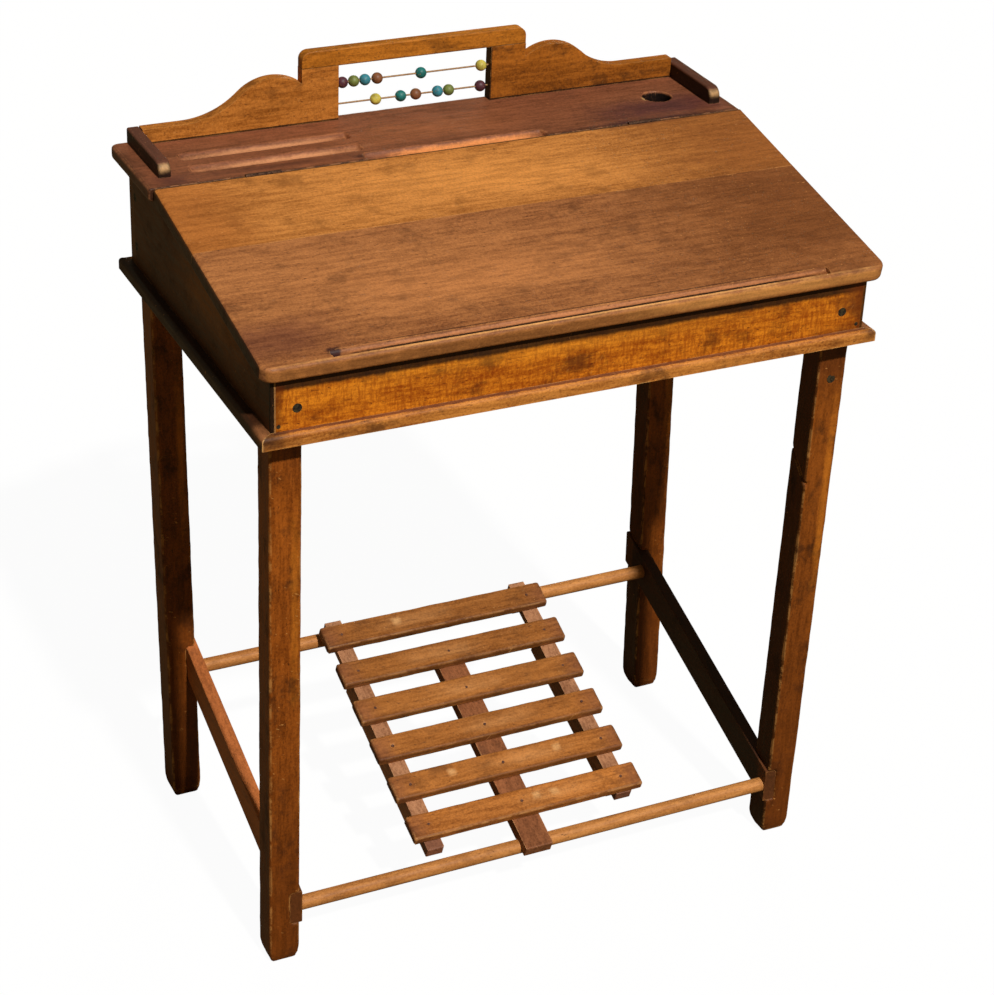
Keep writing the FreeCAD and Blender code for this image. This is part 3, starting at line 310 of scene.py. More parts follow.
def wood(name, along, light, dark, worn, shift=0.0, figure=0.0, flecks=0.55, blotch=0.4, deep=(52, 28, 14),
         edge=0.6, edge_width=2 * MM, scratches=0.4, shine=0.46, stain=0.8, edge_grime_and_shade=None, patches=()):
    """A stained and aged wood with its grain along one axis. Its tones run from dark to light, worn is the
    bare wood at its arrises and scratches, and deep is what lies in its pores and nicks, and along its edges
    as grime and painted shade. The shift gives each board its own grain. The grime and painted shade come
    from the helper for a board's edges, and patches from patch and edge_line."""
    made = bpy.data.materials.new(name)
    made.use_nodes = True
    tree = made.node_tree
    tree.nodes.clear()
    place = put(tree, "ShaderNodeTexCoord").outputs["Object"]
    turned = put(tree, "ShaderNodeMapping", {
        "Vector": place, "Rotation": along, "Location": (shift, 3 * shift, 7 * shift)}).outputs["Vector"]
    fibres = put(tree, "ShaderNodeGroup", {"Place": turned}, node_tree=grain)
    marks = put(tree, "ShaderNodeGroup", {"Place": turned, "Edge width": edge_width}, node_tree=age)
    bands = rise(tree, fibres.outputs["Bands"], 0.36, 0.64)
    wisps = rise(tree, fibres.outputs["Wisps"], 0.38, 0.60)
    mottle = rise(tree, marks.outputs["Mottle"], 0.38, 0.60)
    tone = math_of(tree, "MULTIPLY", bands, BAND_SHARE)
    tone = math_of(tree, "ADD", tone, math_of(tree, "MULTIPLY", wisps, WISP_SHARE))
    tone = math_of(tree, "ADD", tone, math_of(tree, "MULTIPLY", mottle, MOTTLE_SHARE))
    colour = mixed(tree, tone, tint(dark), tint(light))
    cross = rise(tree, fibres.outputs["Cross figure"], 0.44, 0.66)
    colour = laid_over(tree, colour, cross, figure, tint(dark))
    colour = laid_over(tree, colour, marks.outputs["Blotches"], blotch, tint(shaded(dark, stain)))
    colour = laid_over(tree, colour, fibres.outputs["Flecks"], flecks, tint(deep))
    for centre, reach, paint, depth, core, raggedness in patches:
        mask = put(tree, "ShaderNodeGroup", {
            "Place": place, "Centre": centre, "Reach": reach, "Core": core, "Raggedness": raggedness},
            node_tree=patch_mask).outputs["Mask"]
        paint_dark = tint(shaded(paint, PATCH_DARK_SHARE))
        paint_light = tint(shaded(paint, PATCH_LIGHT_SHARE))
        colour = laid_over(tree, colour, mask, depth, mixed(tree, tone, paint_dark, paint_light))
    if edge_grime_and_shade:
        low, high, reach, depth = edge_grime_and_shade
        mask = put(tree, "ShaderNodeGroup", {
            "Place": place, "Low": low, "High": high, "Reach": reach}, node_tree=grime_and_shade).outputs["Mask"]
        colour = laid_over(tree, colour, mask, depth, tint(deep))
    colour = laid_over(tree, colour, marks.outputs["Edge"], edge, tint(worn))
    colour = laid_over(tree, colour, marks.outputs["Scratches"], scratches, tint(worn))
    colour = laid_over(tree, colour, marks.outputs["Nicks"], NICK_DEPTH, tint(deep))
    rough = put(tree, "ShaderNodeMapRange", {
        "Value": math_of(tree, "ADD", wisps, marks.outputs["Blotches"]),
        "From Max": 2.0, "To Min": shine, "To Max": shine + ROUGHNESS_SPREAD}).outputs["Result"]
    nicks = math_of(tree, "MULTIPLY", marks.outputs["Nicks"], NICK_HOLLOW)
    hollow = math_of(tree, "ADD", fibres.outputs["Flecks"], nicks)
    height = math_of(tree, "SUBTRACT", fibres.outputs["Fibres"], hollow)
    bump = put(tree, "ShaderNodeBump", {"Height": height, "Strength": 0.35, "Distance": 0.3 * MM})
    surface = put(tree, "ShaderNodeBsdfPrincipled", {
        "Base Color": colour, "Roughness": rough, "Normal": bump.outputs["Normal"],
        "Specular IOR Level": 0.22, "Coat Weight": 0.03, "Coat Roughness": 0.35})
    put(tree, "ShaderNodeOutputMaterial", {"Surface": surface.outputs[0]})
    return made


def dress(look, *names):
    """Gives CAD nodes a material in place of the plain one that they were packed with."""
    for name in names:
        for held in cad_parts[name].material_slots:
            held.material = look


NOWHERE = 0.01 * MM
LINE_CORE = 0.75
LINE_RAGGEDNESS = 0.25
LINE_LENGTH_SHARE = 1.2


def grimy_shaded_edges(name, reach, depth):
    """Grime and painted shade that creep in from the faces of a CAD node's box, except on an axis where they
    go nowhere.
    """
    low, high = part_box(name)
    spare = [CM if far == NOWHERE else 0 for far in reach]
    low = tuple(edge - more for edge, more in zip(low, spare))
    high = tuple(edge + more for edge, more in zip(high, spare))
    return low, high, reach, depth


def patch(centre, reach, colour, depth, core=PATCH_CORE, raggedness=PATCH_RAGGEDNESS):
    """A soft patch of colour. Its core is the share of its reach that has the full colour."""
    return centre, reach, colour, depth, core, raggedness


def edge_line(name, side, wide, colour, depth):
    """A thin line of colour along one side of a CAD node's box: -X, +X, -Y, +Y, -Z or +Z."""
    low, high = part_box(name)
    axis = "XYZ".index(side[1])
    centre = [(a + b) / 2 for a, b in zip(low, high)]
    reach = [LINE_LENGTH_SHARE * (b - a) for a, b in zip(low, high)]
    centre[axis] = high[axis] if side[0] == "+" else low[axis]
    reach[axis] = wide
    return patch(tuple(centre), tuple(reach), colour, depth, LINE_CORE, LINE_RAGGEDNESS)


# Near-black for soot in joints, and also for painted shadows and painted shade on faces that light doesn't
# reach.
SOOT_AND_SHADOW = (26, 14, 8)
# Painted shade: the side boards' two tones are darkened nearly to black.
SIDE_LIGHT_PAINTED_SHADE = (104, 56, 8)
SIDE_DARK_PAINTED_SHADE = (58, 30, 4)
HIDDEN_LIGHT = (128, 76, 32)
HIDDEN_DARK = (84, 46, 18)
BOARD_WORN = (176, 122, 66)
side_patches = [
    patch((-30 * CM, -5 * CM, 68 * CM), (5 * CM, 13 * CM, 5 * CM), (168, 98, 14), 0.5),
    edge_line("left_side_board", "-Y", 4 * MM, SOOT_AND_SHADOW, 0.9),
]
dress(wood("left side board", ALONG_Y, SIDE_LIGHT_PAINTED_SHADE, SIDE_DARK_PAINTED_SHADE, BOARD_WORN, shift=1.3, edge=0.2,
           patches=side_patches), "left_side_board")
dress(wood("right side board", ALONG_Y, SIDE_LIGHT_PAINTED_SHADE, SIDE_DARK_PAINTED_SHADE, BOARD_WORN, shift=2.1, edge=0.2),
      "right_side_board")
dress(wood("back board", ALONG_X, HIDDEN_LIGHT, HIDDEN_DARK, BOARD_WORN, shift=0.7), "back_board")
dress(wood("bottom board", ALONG_X, light=(160, 118, 74), dark=(118, 82, 48), worn=BOARD_WORN, shift=4.9,
           edge=0.2, shine=0.6), "bottom_board")

PAINTED_NOSE_SHADOW = 17 * MM
apron_low, apron_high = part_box("front_apron")
apron_face = apron_low[1]
apron_middle = (apron_low[0] + apron_high[0]) / 2
apron_patches = [
    patch((apron_middle, apron_face, apron_low[2]), (36 * CM, 2 * CM, 17 * MM), (132, 56, 8), 0.6),
    patch((apron_middle, apron_face, apron_high[2] - 18 * MM), (30 * CM, 2 * CM, 12 * MM), (240, 160, 50),
          0.25),
    # Painted shadow: the apron's top is painted near-black where the lid's nose shades it, and its foot gets
    # a dark line of dirt and painted shade where the moulding meets it.
    edge_line("front_apron", "+Z", PAINTED_NOSE_SHADOW, SOOT_AND_SHADOW, 0.92),
    edge_line("front_apron", "-Z", 2 * MM, SOOT_AND_SHADOW, 0.85),
    edge_line("front_apron", "-X", 1.6 * MM, (236, 186, 116), 0.8),
    patch((apron_high[0], apron_face, apron_low[2]), (80 * MM, 20 * MM, 26 * MM), (88, 40, 10), 0.8),
    patch((apron_high[0], apron_face, apron_high[2]), (34 * MM, 20 * MM, 60 * MM), (112, 54, 16), 0.8),
]
dress(wood("front apron", ALONG_X, light=(244, 148, 32), dark=(146, 64, 6), worn=(214, 150, 76), shift=0.4,
           figure=0.6, flecks=0.9, blotch=0.8, deep=(96, 38, 4), edge=0.1, stain=0.62,
           edge_grime_and_shade=grimy_shaded_edges("front_apron", (12 * MM, NOWHERE, 5 * MM), 0.7), patches=apron_patches),
      "front_apron")

# Till: one board with two planed pencil grooves, a third along its lip, and a bored hole for the inkwell.
# Handling has rubbed the grooves soft, and their lit walls and the lip groove carry painted highlights. The
# inkwell hole is painted dark inside as painted shade, and spilt ink has stained the wood round the hole
# purple.
INK = (50, 26, 36)
GROOVE_PAINTED_HIGHLIGHT = (232, 164, 116)
GROOVE_REACH = (104 * MM, 6 * MM, 8 * MM)
till_low, till_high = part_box("till_board")
till_front = till_low[1]
till_top = till_high[2]
till_patches = [
    patch((240 * MM, 118 * MM, till_top), (110 * MM, 36 * MM, 4 * CM), (80, 42, 44), 0.85),
    patch((215 * MM, till_front, till_top), (110 * MM, 12 * MM, 4 * CM), INK, 0.9),
    # Painted shade: the inkwell hole's walls are painted near-black, and a pale spot on its left wall is a
    # painted highlight.
    patch((252 * MM, 145 * MM, till_top - 9.5 * MM), (24 * MM, 24 * MM, 9.5 * MM), (18, 14, 14), 0.97,
          LINE_CORE, LINE_RAGGEDNESS),
    patch((237 * MM, 143 * MM, till_top), (5 * MM, 6 * MM, 4 * MM), (216, 176, 116), 0.8),
    # Painted highlights on the lit walls of the two pencil grooves.
    patch((-180 * MM, 152 * MM, till_top - 4 * MM), GROOVE_REACH, GROOVE_PAINTED_HIGHLIGHT, 0.55, core=0.3),
    patch((-170 * MM, 120 * MM, till_top - 4 * MM), GROOVE_REACH, GROOVE_PAINTED_HIGHLIGHT, 0.55, core=0.3),
    patch((-180 * MM, 99 * MM, till_top), (120 * MM, 9 * MM, 8 * MM), (70, 38, 32), 0.6),
    patch((-290 * MM, 96 * MM, till_top), (30 * MM, 24 * MM, 8 * MM), (64, 34, 36), 0.6),
    patch((-98 * MM, 95 * MM, till_top), (16 * MM, 6 * MM, 8 * MM), (52, 26, 26), 0.8),
    # Painted highlight on the lit wall of the lip groove.
    patch((10 * MM, 96 * MM, till_top - 3 * MM), (98 * MM, 6 * MM, 6 * MM), (232, 146, 84), 0.9, core=0.5),
    patch((-20 * MM, 140 * MM, till_top), (14 * CM, 4 * CM, 3 * CM), (166, 100, 60), 0.4),
    edge_line("till_board", "-Y", 1.5 * MM, SOOT_AND_SHADOW, 0.8),
]
till_look = wood("till", ALONG_X, light=(152, 92, 62), dark=(98, 56, 36), worn=(196, 130, 84), shift=0.9,
                 flecks=0.45, blotch=0.4, deep=(56, 28, 16), edge=0.35, shine=0.40, patches=till_patches,
                 edge_grime_and_shade=grimy_shaded_edges("till_board", (10 * MM, 7 * MM, NOWHERE), 0.5))
FULLY_RUBBED_SHARE = 0.15
HOLLOW_WIDE = 2.2 * CM


def worn_copy(name, body, look, cell, rubs, dents, foot_tall=0.0, foot_shares=()):
    """A copy of a CAD piece as use has left it: arrises rubbed round, faces uneven, and a foot worn in. The
    cell is the size of its new faces, and each foot share narrows what is below its own height."""
    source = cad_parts[name]
    bpy.ops.object.select_all(action="DESELECT")
    piece = source.copy()
    piece.data = source.data.copy()
    piece.name = "worn_" + name
    bpy.context.scene.collection.objects.link(piece)
    piece.parent = None
    piece.hide_set(False)
    piece.select_set(True)
    bpy.context.view_layer.objects.active = piece
    piece.data.materials.clear()
    piece.data.materials.append(look)
    bpy.ops.object.mode_set(mode="EDIT")
    bpy.ops.mesh.select_all(action="SELECT")
    bpy.ops.mesh.remove_doubles(threshold=0.01 * MM)
    bpy.ops.object.mode_set(mode="OBJECT")
    cells = piece.modifiers.new("cells", "REMESH")
    cells.mode = "VOXEL"
    cells.voxel_size = cell
    bpy.ops.object.modifier_apply(modifier=cells.name)
    for number, share in enumerate(foot_shares):
        height = foot_tall * (1 - number / len(foot_shares))
        bpy.ops.object.mode_set(mode="EDIT")
        bpy.ops.mesh.select_all(action="DESELECT")
        bpy.ops.object.mode_set(mode="OBJECT")
        for point in piece.data.vertices:
            point.select = point.co.z < height
        ring = [point.co for point in piece.data.vertices if point.select]
        middle = sum(ring, Vector()) / len(ring)
        bpy.ops.object.mode_set(mode="EDIT")
        bpy.ops.mesh.select_mode(type="VERT")
        bpy.ops.transform.resize(value=(share, share, 1), center_override=(middle.x, middle.y, 0))
        bpy.ops.object.mode_set(mode="OBJECT")
    before = [point.co.copy() for point in piece.data.vertices]
    rub = piece.modifiers.new("rub", "SMOOTH")
    rub.iterations = rubs
    bpy.ops.object.modifier_apply(modifier=rub.name)
    rubbed = piece.data.attributes.new("rubbed", "FLOAT", "POINT")
    for point, was in zip(piece.data.vertices, before):
        rubbed.data[point.index].value = min(1, (was - point.co).length / (FULLY_RUBBED_SHARE * cell))
    hollows = bpy.data.textures.new(name + " hollows", "CLOUDS")
    hollows.noise_scale = HOLLOW_WIDE
    hollows.noise_depth = 3
    uneven = piece.modifiers.new("uneven", "DISPLACE")
    uneven.texture = hollows
    uneven.texture_coords = "LOCAL"
    uneven.strength = dents
    uneven.mid_level = 0.5
    bpy.ops.object.modifier_apply(modifier=uneven.name)
    bpy.ops.object.shade_smooth()
    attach(piece, body)
    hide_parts(name)


worn_copy("till_board", "desk", till_look, cell=1.4 * MM, rubs=5, dents=0.4 * MM)

# Lid: two planks glued edge to edge over two cleats, rounded at the nose and sun-bleached near the till.
# The lower plank is browner, with a moulded groove along its front: a painted shadow darkens its bottom, a
# painted highlight lies on its rear slope, and a dark line runs along its rear edge.
LID_WORN = (226, 158, 92)
LID_SLOPE = math.radians(10.5)
lid_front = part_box("lid_lower_plank")[0][1]
lid_rear, lid_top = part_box("lid_upper_plank")[1][1:]


def on_lid(behind_nose, deep):
    """The Y and Z of a point that lies behind the lid's nose, along its slope, and under its top face."""
    down = (lid_rear - lid_front) / math.cos(LID_SLOPE) - behind_nose
    y = lid_rear - down * math.cos(LID_SLOPE) + deep * math.sin(LID_SLOPE)
    z = lid_top - down * math.sin(LID_SLOPE) - deep * math.cos(LID_SLOPE)
    return y, z


upper_patches = [
    patch((215 * MM, lid_rear, lid_top), (100 * MM, 7 * MM, 3 * CM), INK, 0.7),
    patch((-20 * MM, 30 * MM, 73 * CM), (22 * CM, 5 * CM, 10 * CM), (214, 142, 70), 0.5),
    patch((300 * MM, 20 * MM, 73 * CM), (20 * CM, 20 * CM, 30 * CM), (130, 74, 33), 0.82),
    patch((-300 * MM, 20 * MM, 73 * CM), (9 * CM, 18 * CM, 30 * CM), (156, 88, 36), 0.6),
    edge_line("lid_upper_plank", "+Y", 1.8 * MM, SOOT_AND_SHADOW, 0.85),
    # Painted shade: the plank's left end is painted near-black.
    edge_line("lid_upper_plank", "-X", 1.2 * MM, SOOT_AND_SHADOW, 0.85),
]
NOSE_FACE = (0, *on_lid(0, 9 * MM))
GROOVE_MIDDLE = 5 * MM
GROOVE_HALF = 256 * MM
GROOVE_LEFT = GROOVE_MIDDLE - GROOVE_HALF
lower_patches = [
    patch((-290 * MM, -165 * MM, 69 * CM), (9 * CM, 4 * CM, 20 * CM), (96, 50, 40), 0.6),
    patch((290 * MM, -80 * MM, 69 * CM), (26 * CM, 24 * CM, 30 * CM), (112, 62, 28), 0.8),
    patch((-60 * MM, -120 * MM, 69 * CM), (20 * CM, 5 * CM, 10 * CM), (192, 124, 72), 0.4),
    patch(NOSE_FACE, (40 * CM, 3.5 * MM, 9 * MM), (196, 128, 64), 0.5, LINE_CORE),
    patch(NOSE_FACE, (40 * CM, 4 * MM, 12 * MM), (80, 42, 18), 0.35, core=0.3, raggedness=2.4),
    # Painted highlights: a pale band on the right of the nose, and a pale line along the nose's top arris
    # that is partly rubbed wood.
    patch((190 * MM, *on_lid(0, 6 * MM)), (18 * CM, 4 * MM, 7 * MM), (226, 158, 86), 0.6, core=0.3,
          raggedness=1.2),
    patch((0, *on_lid(3 * MM, 0)), (40 * CM, 1.8 * MM, 1.4 * MM), (238, 176, 108), 0.75),
    # The groove: a painted shadow along its bottom behind the front lip, a painted highlight on its rear
    # slope, a dark line along its rear edge, and a dark spot at its left end.
    patch((GROOVE_MIDDLE, *on_lid(8.6 * MM, 3.5 * MM)), (GROOVE_HALF, 3 * MM, 3.2 * MM), SOOT_AND_SHADOW, 0.92,
          LINE_CORE, LINE_RAGGEDNESS),
    patch((GROOVE_MIDDLE, *on_lid(12 * MM, 2.6 * MM)), (GROOVE_HALF, 1.8 * MM, 1.8 * MM), (196, 126, 80),
          0.6, LINE_CORE),
    patch((GROOVE_MIDDLE, *on_lid(15.8 * MM, 0)), (GROOVE_HALF, 0.9 * MM, 2 * MM), (72, 38, 26), 0.8,
          LINE_CORE),
    patch((GROOVE_LEFT + 8 * MM, *on_lid(12 * MM, 1 * MM)), (9 * MM, 6 * MM, 6 * MM), (48, 22, 26), 0.95,
          core=0.5),
    # Painted shade: the plank's left end is painted near-black.
    edge_line("lid_lower_plank", "-X", 1.2 * MM, SOOT_AND_SHADOW, 0.85),
]
dress(wood("lid upper plank", ALONG_X, light=(212, 140, 70), dark=(142, 82, 32), worn=LID_WORN, shift=0.2,
           flecks=0.75, blotch=0.55, deep=(100, 52, 20), edge=0.3, scratches=0.45, shine=0.42,
           patches=upper_patches), "lid_upper_plank")
dress(wood("lid lower plank", ALONG_X, light=(190, 124, 72), dark=(118, 68, 38), worn=LID_WORN, shift=1.7,
           flecks=0.8, blotch=0.65, deep=(76, 38, 24), edge=0.6, edge_width=3 * MM, scratches=0.5,
           shine=0.42, patches=lower_patches), "lid_lower_plank")
dress(wood("lid cleats", ALONG_Y, light=(170, 118, 68), dark=(124, 80, 44), worn=LID_WORN, shift=2.9,
           shine=0.55), "lid_left_cleat", "lid_right_cleat")

# Mouldings: four rounded strips, planed from one length and mitred round the foot of the case.
# Dirt and painted shade darken the backs of their tops along the case, and they stick out, so their edges
# are knocked and rubbed pale. The side mouldings are painted near-black as painted shade, with a painted
# pool of light on their front ends.
low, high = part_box("front_moulding")
moulding_patches = [
    # Dirt and painted shade: a dark line along the back of the top, where the apron meets it.
    patch((0, high[1], high[2]), (40 * CM, 6 * MM, 2 * MM), (96, 54, 42), 0.8, LINE_CORE),
    patch((low[0], low[1], high[2]), (34 * MM, 16 * MM, 16 * MM), (56, 30, 18), 0.9),
    patch((high[0], low[1], high[2]), (16 * MM, 14 * MM, 14 * MM), (60, 30, 20), 0.85),
    patch((low[0], low[1], low[2]), (4 * MM, 4 * MM, 8 * MM), (176, 124, 70), 0.6),
]
dress(wood("front moulding", ALONG_X, light=(222, 146, 66), dark=(138, 74, 24), worn=(240, 184, 114),
           shift=0.6, flecks=0.8, blotch=0.8, deep=(72, 32, 14), edge=0.6, stain=0.65,
           patches=moulding_patches), "front_moulding")
dress(wood("rear moulding", ALONG_X, HIDDEN_LIGHT, HIDDEN_DARK, BOARD_WORN, shift=3.1), "rear_moulding")
for side, name in ((-1, "left_moulding"), (1, "right_moulding")):
    low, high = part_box(name)
    outer = high[0] if side > 0 else low[0]
    # Painted shade and light: each side moulding is painted near-black as shade from the case, and its front
    # end gets a painted pool of light.
    front = patch((outer, low[1], high[2]), (20 * MM, 34 * MM, 12 * MM), (178, 116, 72), 0.7)
    dress(wood(name.replace("_", " "), ALONG_Y, light=(72, 40, 20), dark=(34, 18, 10), worn=(206, 150, 92),
               shift=1.1 + side, blotch=0.6, edge=0.4, patches=[front]), name)

# Gallery: two scroll boards joined by a cap rail, and two low rails that stop pencils at the till's ends.
# The scrolls are fretted from golden boards with small dark flecks, and dark lines of dirt and painted shade
# run along their feet. The right scroll's jamb face and the cap rail's underside are painted dark as painted
# shade.
GALLERY_WORN = (202, 146, 84)
left_foot = edge_line("gallery_left_scroll", "-Z", 2.2 * MM, SOOT_AND_SHADOW, 0.9)
dress(wood("left scroll board", ALONG_X, light=(212, 134, 56), dark=(132, 72, 18), worn=GALLERY_WORN,
           shift=0.35, flecks=0.7, blotch=0.7, deep=(76, 34, 8), edge=0.4, patches=[left_foot]),
      "gallery_left_scroll")
right_foot = edge_line("gallery_right_scroll", "-Z", 2.2 * MM, SOOT_AND_SHADOW, 0.9)
# Painted shade: the right scroll's jamb face, which looks left, is painted near-black.
right_jamb_shade = edge_line("gallery_right_scroll", "-X", 1.5 * MM, SOOT_AND_SHADOW, 0.85)
dress(wood("right scroll board", ALONG_X, light=(184, 108, 32), dark=(108, 56, 10), worn=GALLERY_WORN,
           shift=0.85, flecks=0.6, blotch=0.9, deep=(66, 30, 8), edge=0.5, stain=0.7,
           patches=[right_foot, right_jamb_shade]), "gallery_right_scroll")
# Painted shadow: a dark line along the cap rail's underside.
cap_shadow = edge_line("gallery_cap_rail", "-Z", 1.2 * MM, SOOT_AND_SHADOW, 0.6)
dress(wood("cap rail", ALONG_X, light=(198, 122, 36), dark=(112, 60, 10), worn=(206, 160, 112), shift=1.25,
           flecks=0.8, blotch=0.5, deep=(60, 30, 8), edge=0.45, patches=[cap_shadow]), "gallery_cap_rail")
for number, name in enumerate(("left_end_rail", "right_end_rail")):
    low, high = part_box(name)
    x = (low[0] + high[0]) / 2
    y = (low[1] + high[1]) / 2
    # Painted shade: each end rail is painted near-black, with a purple-brown line along its top, and the
    # pale patch on its front end is wear and a painted highlight.
    rail_patches = [
        patch((x, y, high[2]), (1 * CM, 9 * CM, 3 * MM), (100, 60, 45), 0.8, LINE_CORE),
        patch((x, low[1], high[2] - 4 * MM), (9 * MM, 6 * MM, 8 * MM), (214, 166, 112), 0.75),
    ]
    dress(wood(name.replace("_", " "), ALONG_Y, light=(46, 26, 18), dark=(24, 13, 10), worn=(200, 146, 100),
               shift=0.55 + number, blotch=0.5, edge=0.5, patches=rail_patches), name)

# Legs: four square posts, planed and stained deep orange-brown, that lean in a little towards the floor.
# Their arrises are rubbed and scratched to bare wood, and the feet are worn round on all sides.
LEGS = ("front_left_leg", "front_right_leg", "rear_left_leg", "rear_right_leg")
LEG_LIGHT = (172, 92, 24)
LEG_DARK = (104, 48, 6)
LEG_WORN = (208, 146, 78)
LEG_SHARES = (1.02, 0.88, 0.88, 0.93)
# How deep the painted shade lies on each leg's inner face and on its top.
INNER_SHADE_DEPTH_SHARES = (0.0, 0.7, 0.0, 0.7)
TOP_SHADE_DEPTH_SHARES = (0.2, 0.65, 0.0, 0.3)
FOOT_SHARES = (0.995, 0.99, 0.985, 0.98, 0.97, 0.96, 0.95, 0.93)
of_each_leg = zip(LEGS, LEG_SHARES, INNER_SHADE_DEPTH_SHARES, TOP_SHADE_DEPTH_SHARES)
for number, (name, share, inner_shade_depth, top_shade_depth) in enumerate(of_each_leg):
    low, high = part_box(name)
    x = (low[0] + high[0]) / 2
    y = (low[1] + high[1]) / 2
    leg_patches = [
        patch((x, y, 0), (20 * CM, 20 * CM, 38 * CM), (84, 38, 4), 0.7),
        patch((x + 9 * MM, low[1] + 2 * CM, 42 * CM), (6 * MM, 6 * CM, 14 * CM), (206, 122, 34), 0.5,
              raggedness=1.4),
        # Painted shade: the right legs' inner faces are painted darker, and each leg's top is painted dark
        # as the shadow under the moulding, each by its own share.
        edge_line(name, "-X", 2 * MM, (44, 22, 4), inner_shade_depth),
        patch((x, y, 60 * CM), (20 * CM, 20 * CM, 7 * CM), (84, 40, 12), top_shade_depth, core=0.3),
    ]
    look = wood(name.replace("_", " "), ALONG_Z, shaded(LEG_LIGHT, share), shaded(LEG_DARK, share), LEG_WORN,
                shift=0.3 + number, flecks=0.6, blotch=0.85, deep=(56, 24, 4), edge=0.6, scratches=0.65,
                stain=0.62, patches=leg_patches)
    worn_copy(name, "desk", look, cell=1.5 * MM, rubs=4, dents=0.8 * MM, foot_tall=16 * MM,
              foot_shares=FOOT_SHARES)

# Stretchers and dowels: two rails joined into the legs on a slant, and two turned rods let into the rails.
# The rods are lighter, rubbed by shoes.
left_ends = [edge_line("left_stretcher", side, 2 * CM, (84, 44, 16), 0.95) for side in ("-Y", "+Y")]
dress(wood("left stretcher", ALONG_Y, light=(196, 114, 60), dark=(134, 74, 36), worn=LEG_WORN, shift=0.15,
           blotch=0.5, edge=0.5, patches=left_ends), "left_stretcher")
# Painted shade: the right stretcher is painted near-black, much darker than the left one.
right_ends = [edge_line("right_stretcher", side, 2 * CM, (104, 58, 26), 0.6) for side in ("-Y", "+Y")]
dress(wood("right stretcher", ALONG_Y, light=(78, 44, 26), dark=(42, 22, 12), worn=LEG_WORN, shift=0.65,
           blotch=0.5, edge=0.4, patches=right_ends), "right_stretcher")
dress(wood("dowels", ALONG_X, light=(208, 142, 78), dark=(150, 92, 44), worn=(222, 168, 110), shift=0.45,
           blotch=0.4, flecks=0.5), "front_dowel", "rear_dowel")

# Footrest: six slats nailed on two side battens, bored for the rear dowel, and a saddled middle one.
# Shoes have worn the slats pale in the middle, and their ends are stained purple-brown.
SLAT_LIGHT = (184, 116, 54)
SLAT_DARK = (118, 66, 24)
SLAT_SHARES = (0.94, 0.96, 0.96, 1.0, 1.03, 1.12)
END_REACH = (30 * MM, 30 * MM, 20 * MM)
WORN_REACH = (60 * MM, 12 * MM, 12 * MM)
CHIP_REACH = (7 * MM, 6 * MM, 9 * MM)
CHIPS_ON_SLAT = {1: (-49 * MM,), 5: (-66 * MM, 55 * MM), 6: (9 * MM, 30 * MM)}
for number, share in enumerate(SLAT_SHARES, 1):
    name = f"slat_{number}"
    low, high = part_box(name)
    x, y, z = ((a + b) / 2 for a, b in zip(low, high))
    slat_patches = [patch((end_x, y, z), END_REACH, (120, 72, 52), 0.5) for end_x in (low[0], high[0])]
    slat_patches.append(patch((x + 12 * MM * (number - 3), y, z), WORN_REACH, (214, 154, 96), 0.4))
    for chip_x in CHIPS_ON_SLAT.get(number, ()):
        slat_patches.append(patch((chip_x, y, high[2]), CHIP_REACH, (238, 186, 126), 0.6))
    look = wood(f"slat {number}", ALONG_X, shaded(SLAT_LIGHT, share), shaded(SLAT_DARK, share),
                worn=(220, 162, 100), shift=0.37 * number, blotch=0.6, flecks=0.6, deep=(62, 28, 10),
                edge=0.4, edge_grime_and_shade=grimy_shaded_edges(name, (5 * MM, 3.5 * MM, NOWHERE), 0.5), patches=slat_patches)
    worn_copy(name, "footrest", look, cell=1.2 * MM, rubs=4, dents=0.8 * MM)
SIDE_BATTENS = ("left_batten", "right_batten")
batten_ends = [edge_line(name, "-Y", 22 * MM, (104, 62, 48), 0.75) for name in SIDE_BATTENS]
dress(wood("side battens", ALONG_Y, light=(190, 136, 98), dark=(126, 82, 54), worn=(214, 164, 118),
           shift=0.75, blotch=0.5, patches=batten_ends), *SIDE_BATTENS)
dress(wood("middle batten", ALONG_Y, light=(158, 98, 60), dark=(100, 58, 34), worn=(204, 148, 100),
           shift=0.95, blotch=0.5, edge=0.8), "centre_batten")


# Ironwork: hand-driven screws and cut nails, rusted dark brown, and thin brass butt hinges, tarnished nearly
# as dark as the wood. The wires are drawn steel, gone straw-brown.
def metal(name, light, dark, shine, metallic):
    """A tarnished metal: two tones in spots, rough where it is dark."""
    made = bpy.data.materials.new(name)
    made.use_nodes = True
    tree = made.node_tree
    tree.nodes.clear()
    place = put(tree, "ShaderNodeTexCoord").outputs["Object"]
    spots = rise(tree, cloud(tree, place, (320, 320, 320), 5.0, 0.7), 0.38, 0.62)
    rough = put(tree, "ShaderNodeMapRange", {
        "Value": spots, "To Min": shine + 0.3, "To Max": shine}).outputs["Result"]
    bump = put(tree, "ShaderNodeBump", {"Height": spots, "Strength": 0.3, "Distance": 0.15 * MM})
    surface = put(tree, "ShaderNodeBsdfPrincipled", {
        "Base Color": mixed(tree, spots, tint(dark), tint(light)), "Metallic": metallic,
        "Roughness": rough, "Normal": bump.outputs["Normal"]})
    put(tree, "ShaderNodeOutputMaterial", {"Surface": surface.outputs[0]})
    return made


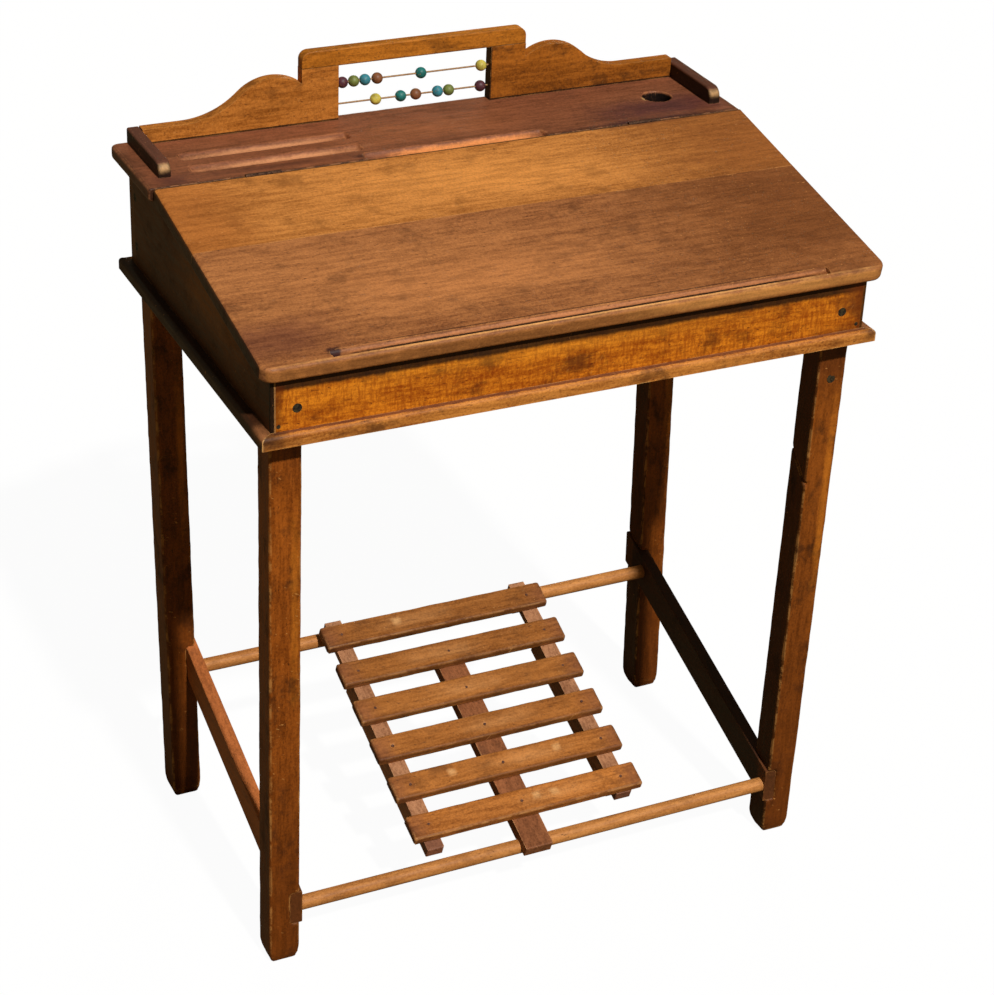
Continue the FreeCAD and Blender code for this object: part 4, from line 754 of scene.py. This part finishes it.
iron = metal("rusted iron", light=(84, 74, 52), dark=(40, 30, 22), shine=0.55, metallic=0.6)
dress(iron, "case_screws", "apron_nails", "till_screws", "lid_screws")
heads = metal("sunk nail heads", light=(108, 70, 52), dark=(70, 40, 32), shine=0.6, metallic=0.2)
dress(heads, "slat_nails")
brass = metal("tarnished hinge brass", light=(88, 58, 36), dark=(52, 32, 22), shine=0.6, metallic=0.4)
dress(brass, "left_hinge_lid_leaf", "right_hinge_lid_leaf", "left_hinge_case_leaf", "right_hinge_case_leaf",
      "hinge_pins")
steel = metal("straw-brown wire", light=(178, 140, 98), dark=(150, 112, 74), shine=0.55, metallic=0.2)
dress(steel, "upper_wire", "lower_wire")


# Beads: turned wooden beads for counting, threaded on the two wires. Each was dipped in flat paint, which
# has faded in clouds and chipped to the wood in small spots.
BEAD_WOOD = (150, 108, 70)
FADED_SHARE = 0.78


def bead_paint(name, colour, shift):
    """Old flat paint with chips that show the wood."""
    made = bpy.data.materials.new(name)
    made.use_nodes = True
    tree = made.node_tree
    tree.nodes.clear()
    place = put(tree, "ShaderNodeTexCoord").outputs["Object"]
    place = put(tree, "ShaderNodeMapping", {"Vector": place, "Location": (shift, 0, 0)}).outputs["Vector"]
    fade = rise(tree, cloud(tree, place, (160, 160, 160), 4.0, 0.6), 0.35, 0.7)
    chips = rise(tree, cloud(tree, place, (420, 420, 420), 4.0, 0.7), 0.60, 0.66)
    base = mixed(tree, fade, tint(colour), tint(shaded(colour, FADED_SHARE)))
    base = mixed(tree, chips, base, tint(BEAD_WOOD))
    height = math_of(tree, "SUBTRACT", 1.0, chips)
    bump = put(tree, "ShaderNodeBump", {"Height": height, "Strength": 0.4, "Distance": 0.15 * MM})
    surface = put(tree, "ShaderNodeBsdfPrincipled", {
        "Base Color": base, "Roughness": 0.5, "Normal": bump.outputs["Normal"],
        "Specular IOR Level": 0.4})
    put(tree, "ShaderNodeOutputMaterial", {"Surface": surface.outputs[0]})
    return made


BEAD_PAINTS = {
    "purple": (88, 46, 58), "green": (120, 132, 66), "blue": (56, 136, 152), "brown": (136, 84, 52),
    "teal": (28, 116, 112), "yellow": (214, 196, 86)}
for number, (name, colour) in enumerate(BEAD_PAINTS.items()):
    for row, more in (("upper", 0), ("lower", 7)):
        look = bead_paint(f"{row} {name} paint", colour, shift=0.4 + number + more)
        dress(look, f"{row}_{name}_bead")

# Finish: colours are shown as they are lit.
bpy.context.scene.view_settings.view_transform = "Standard"
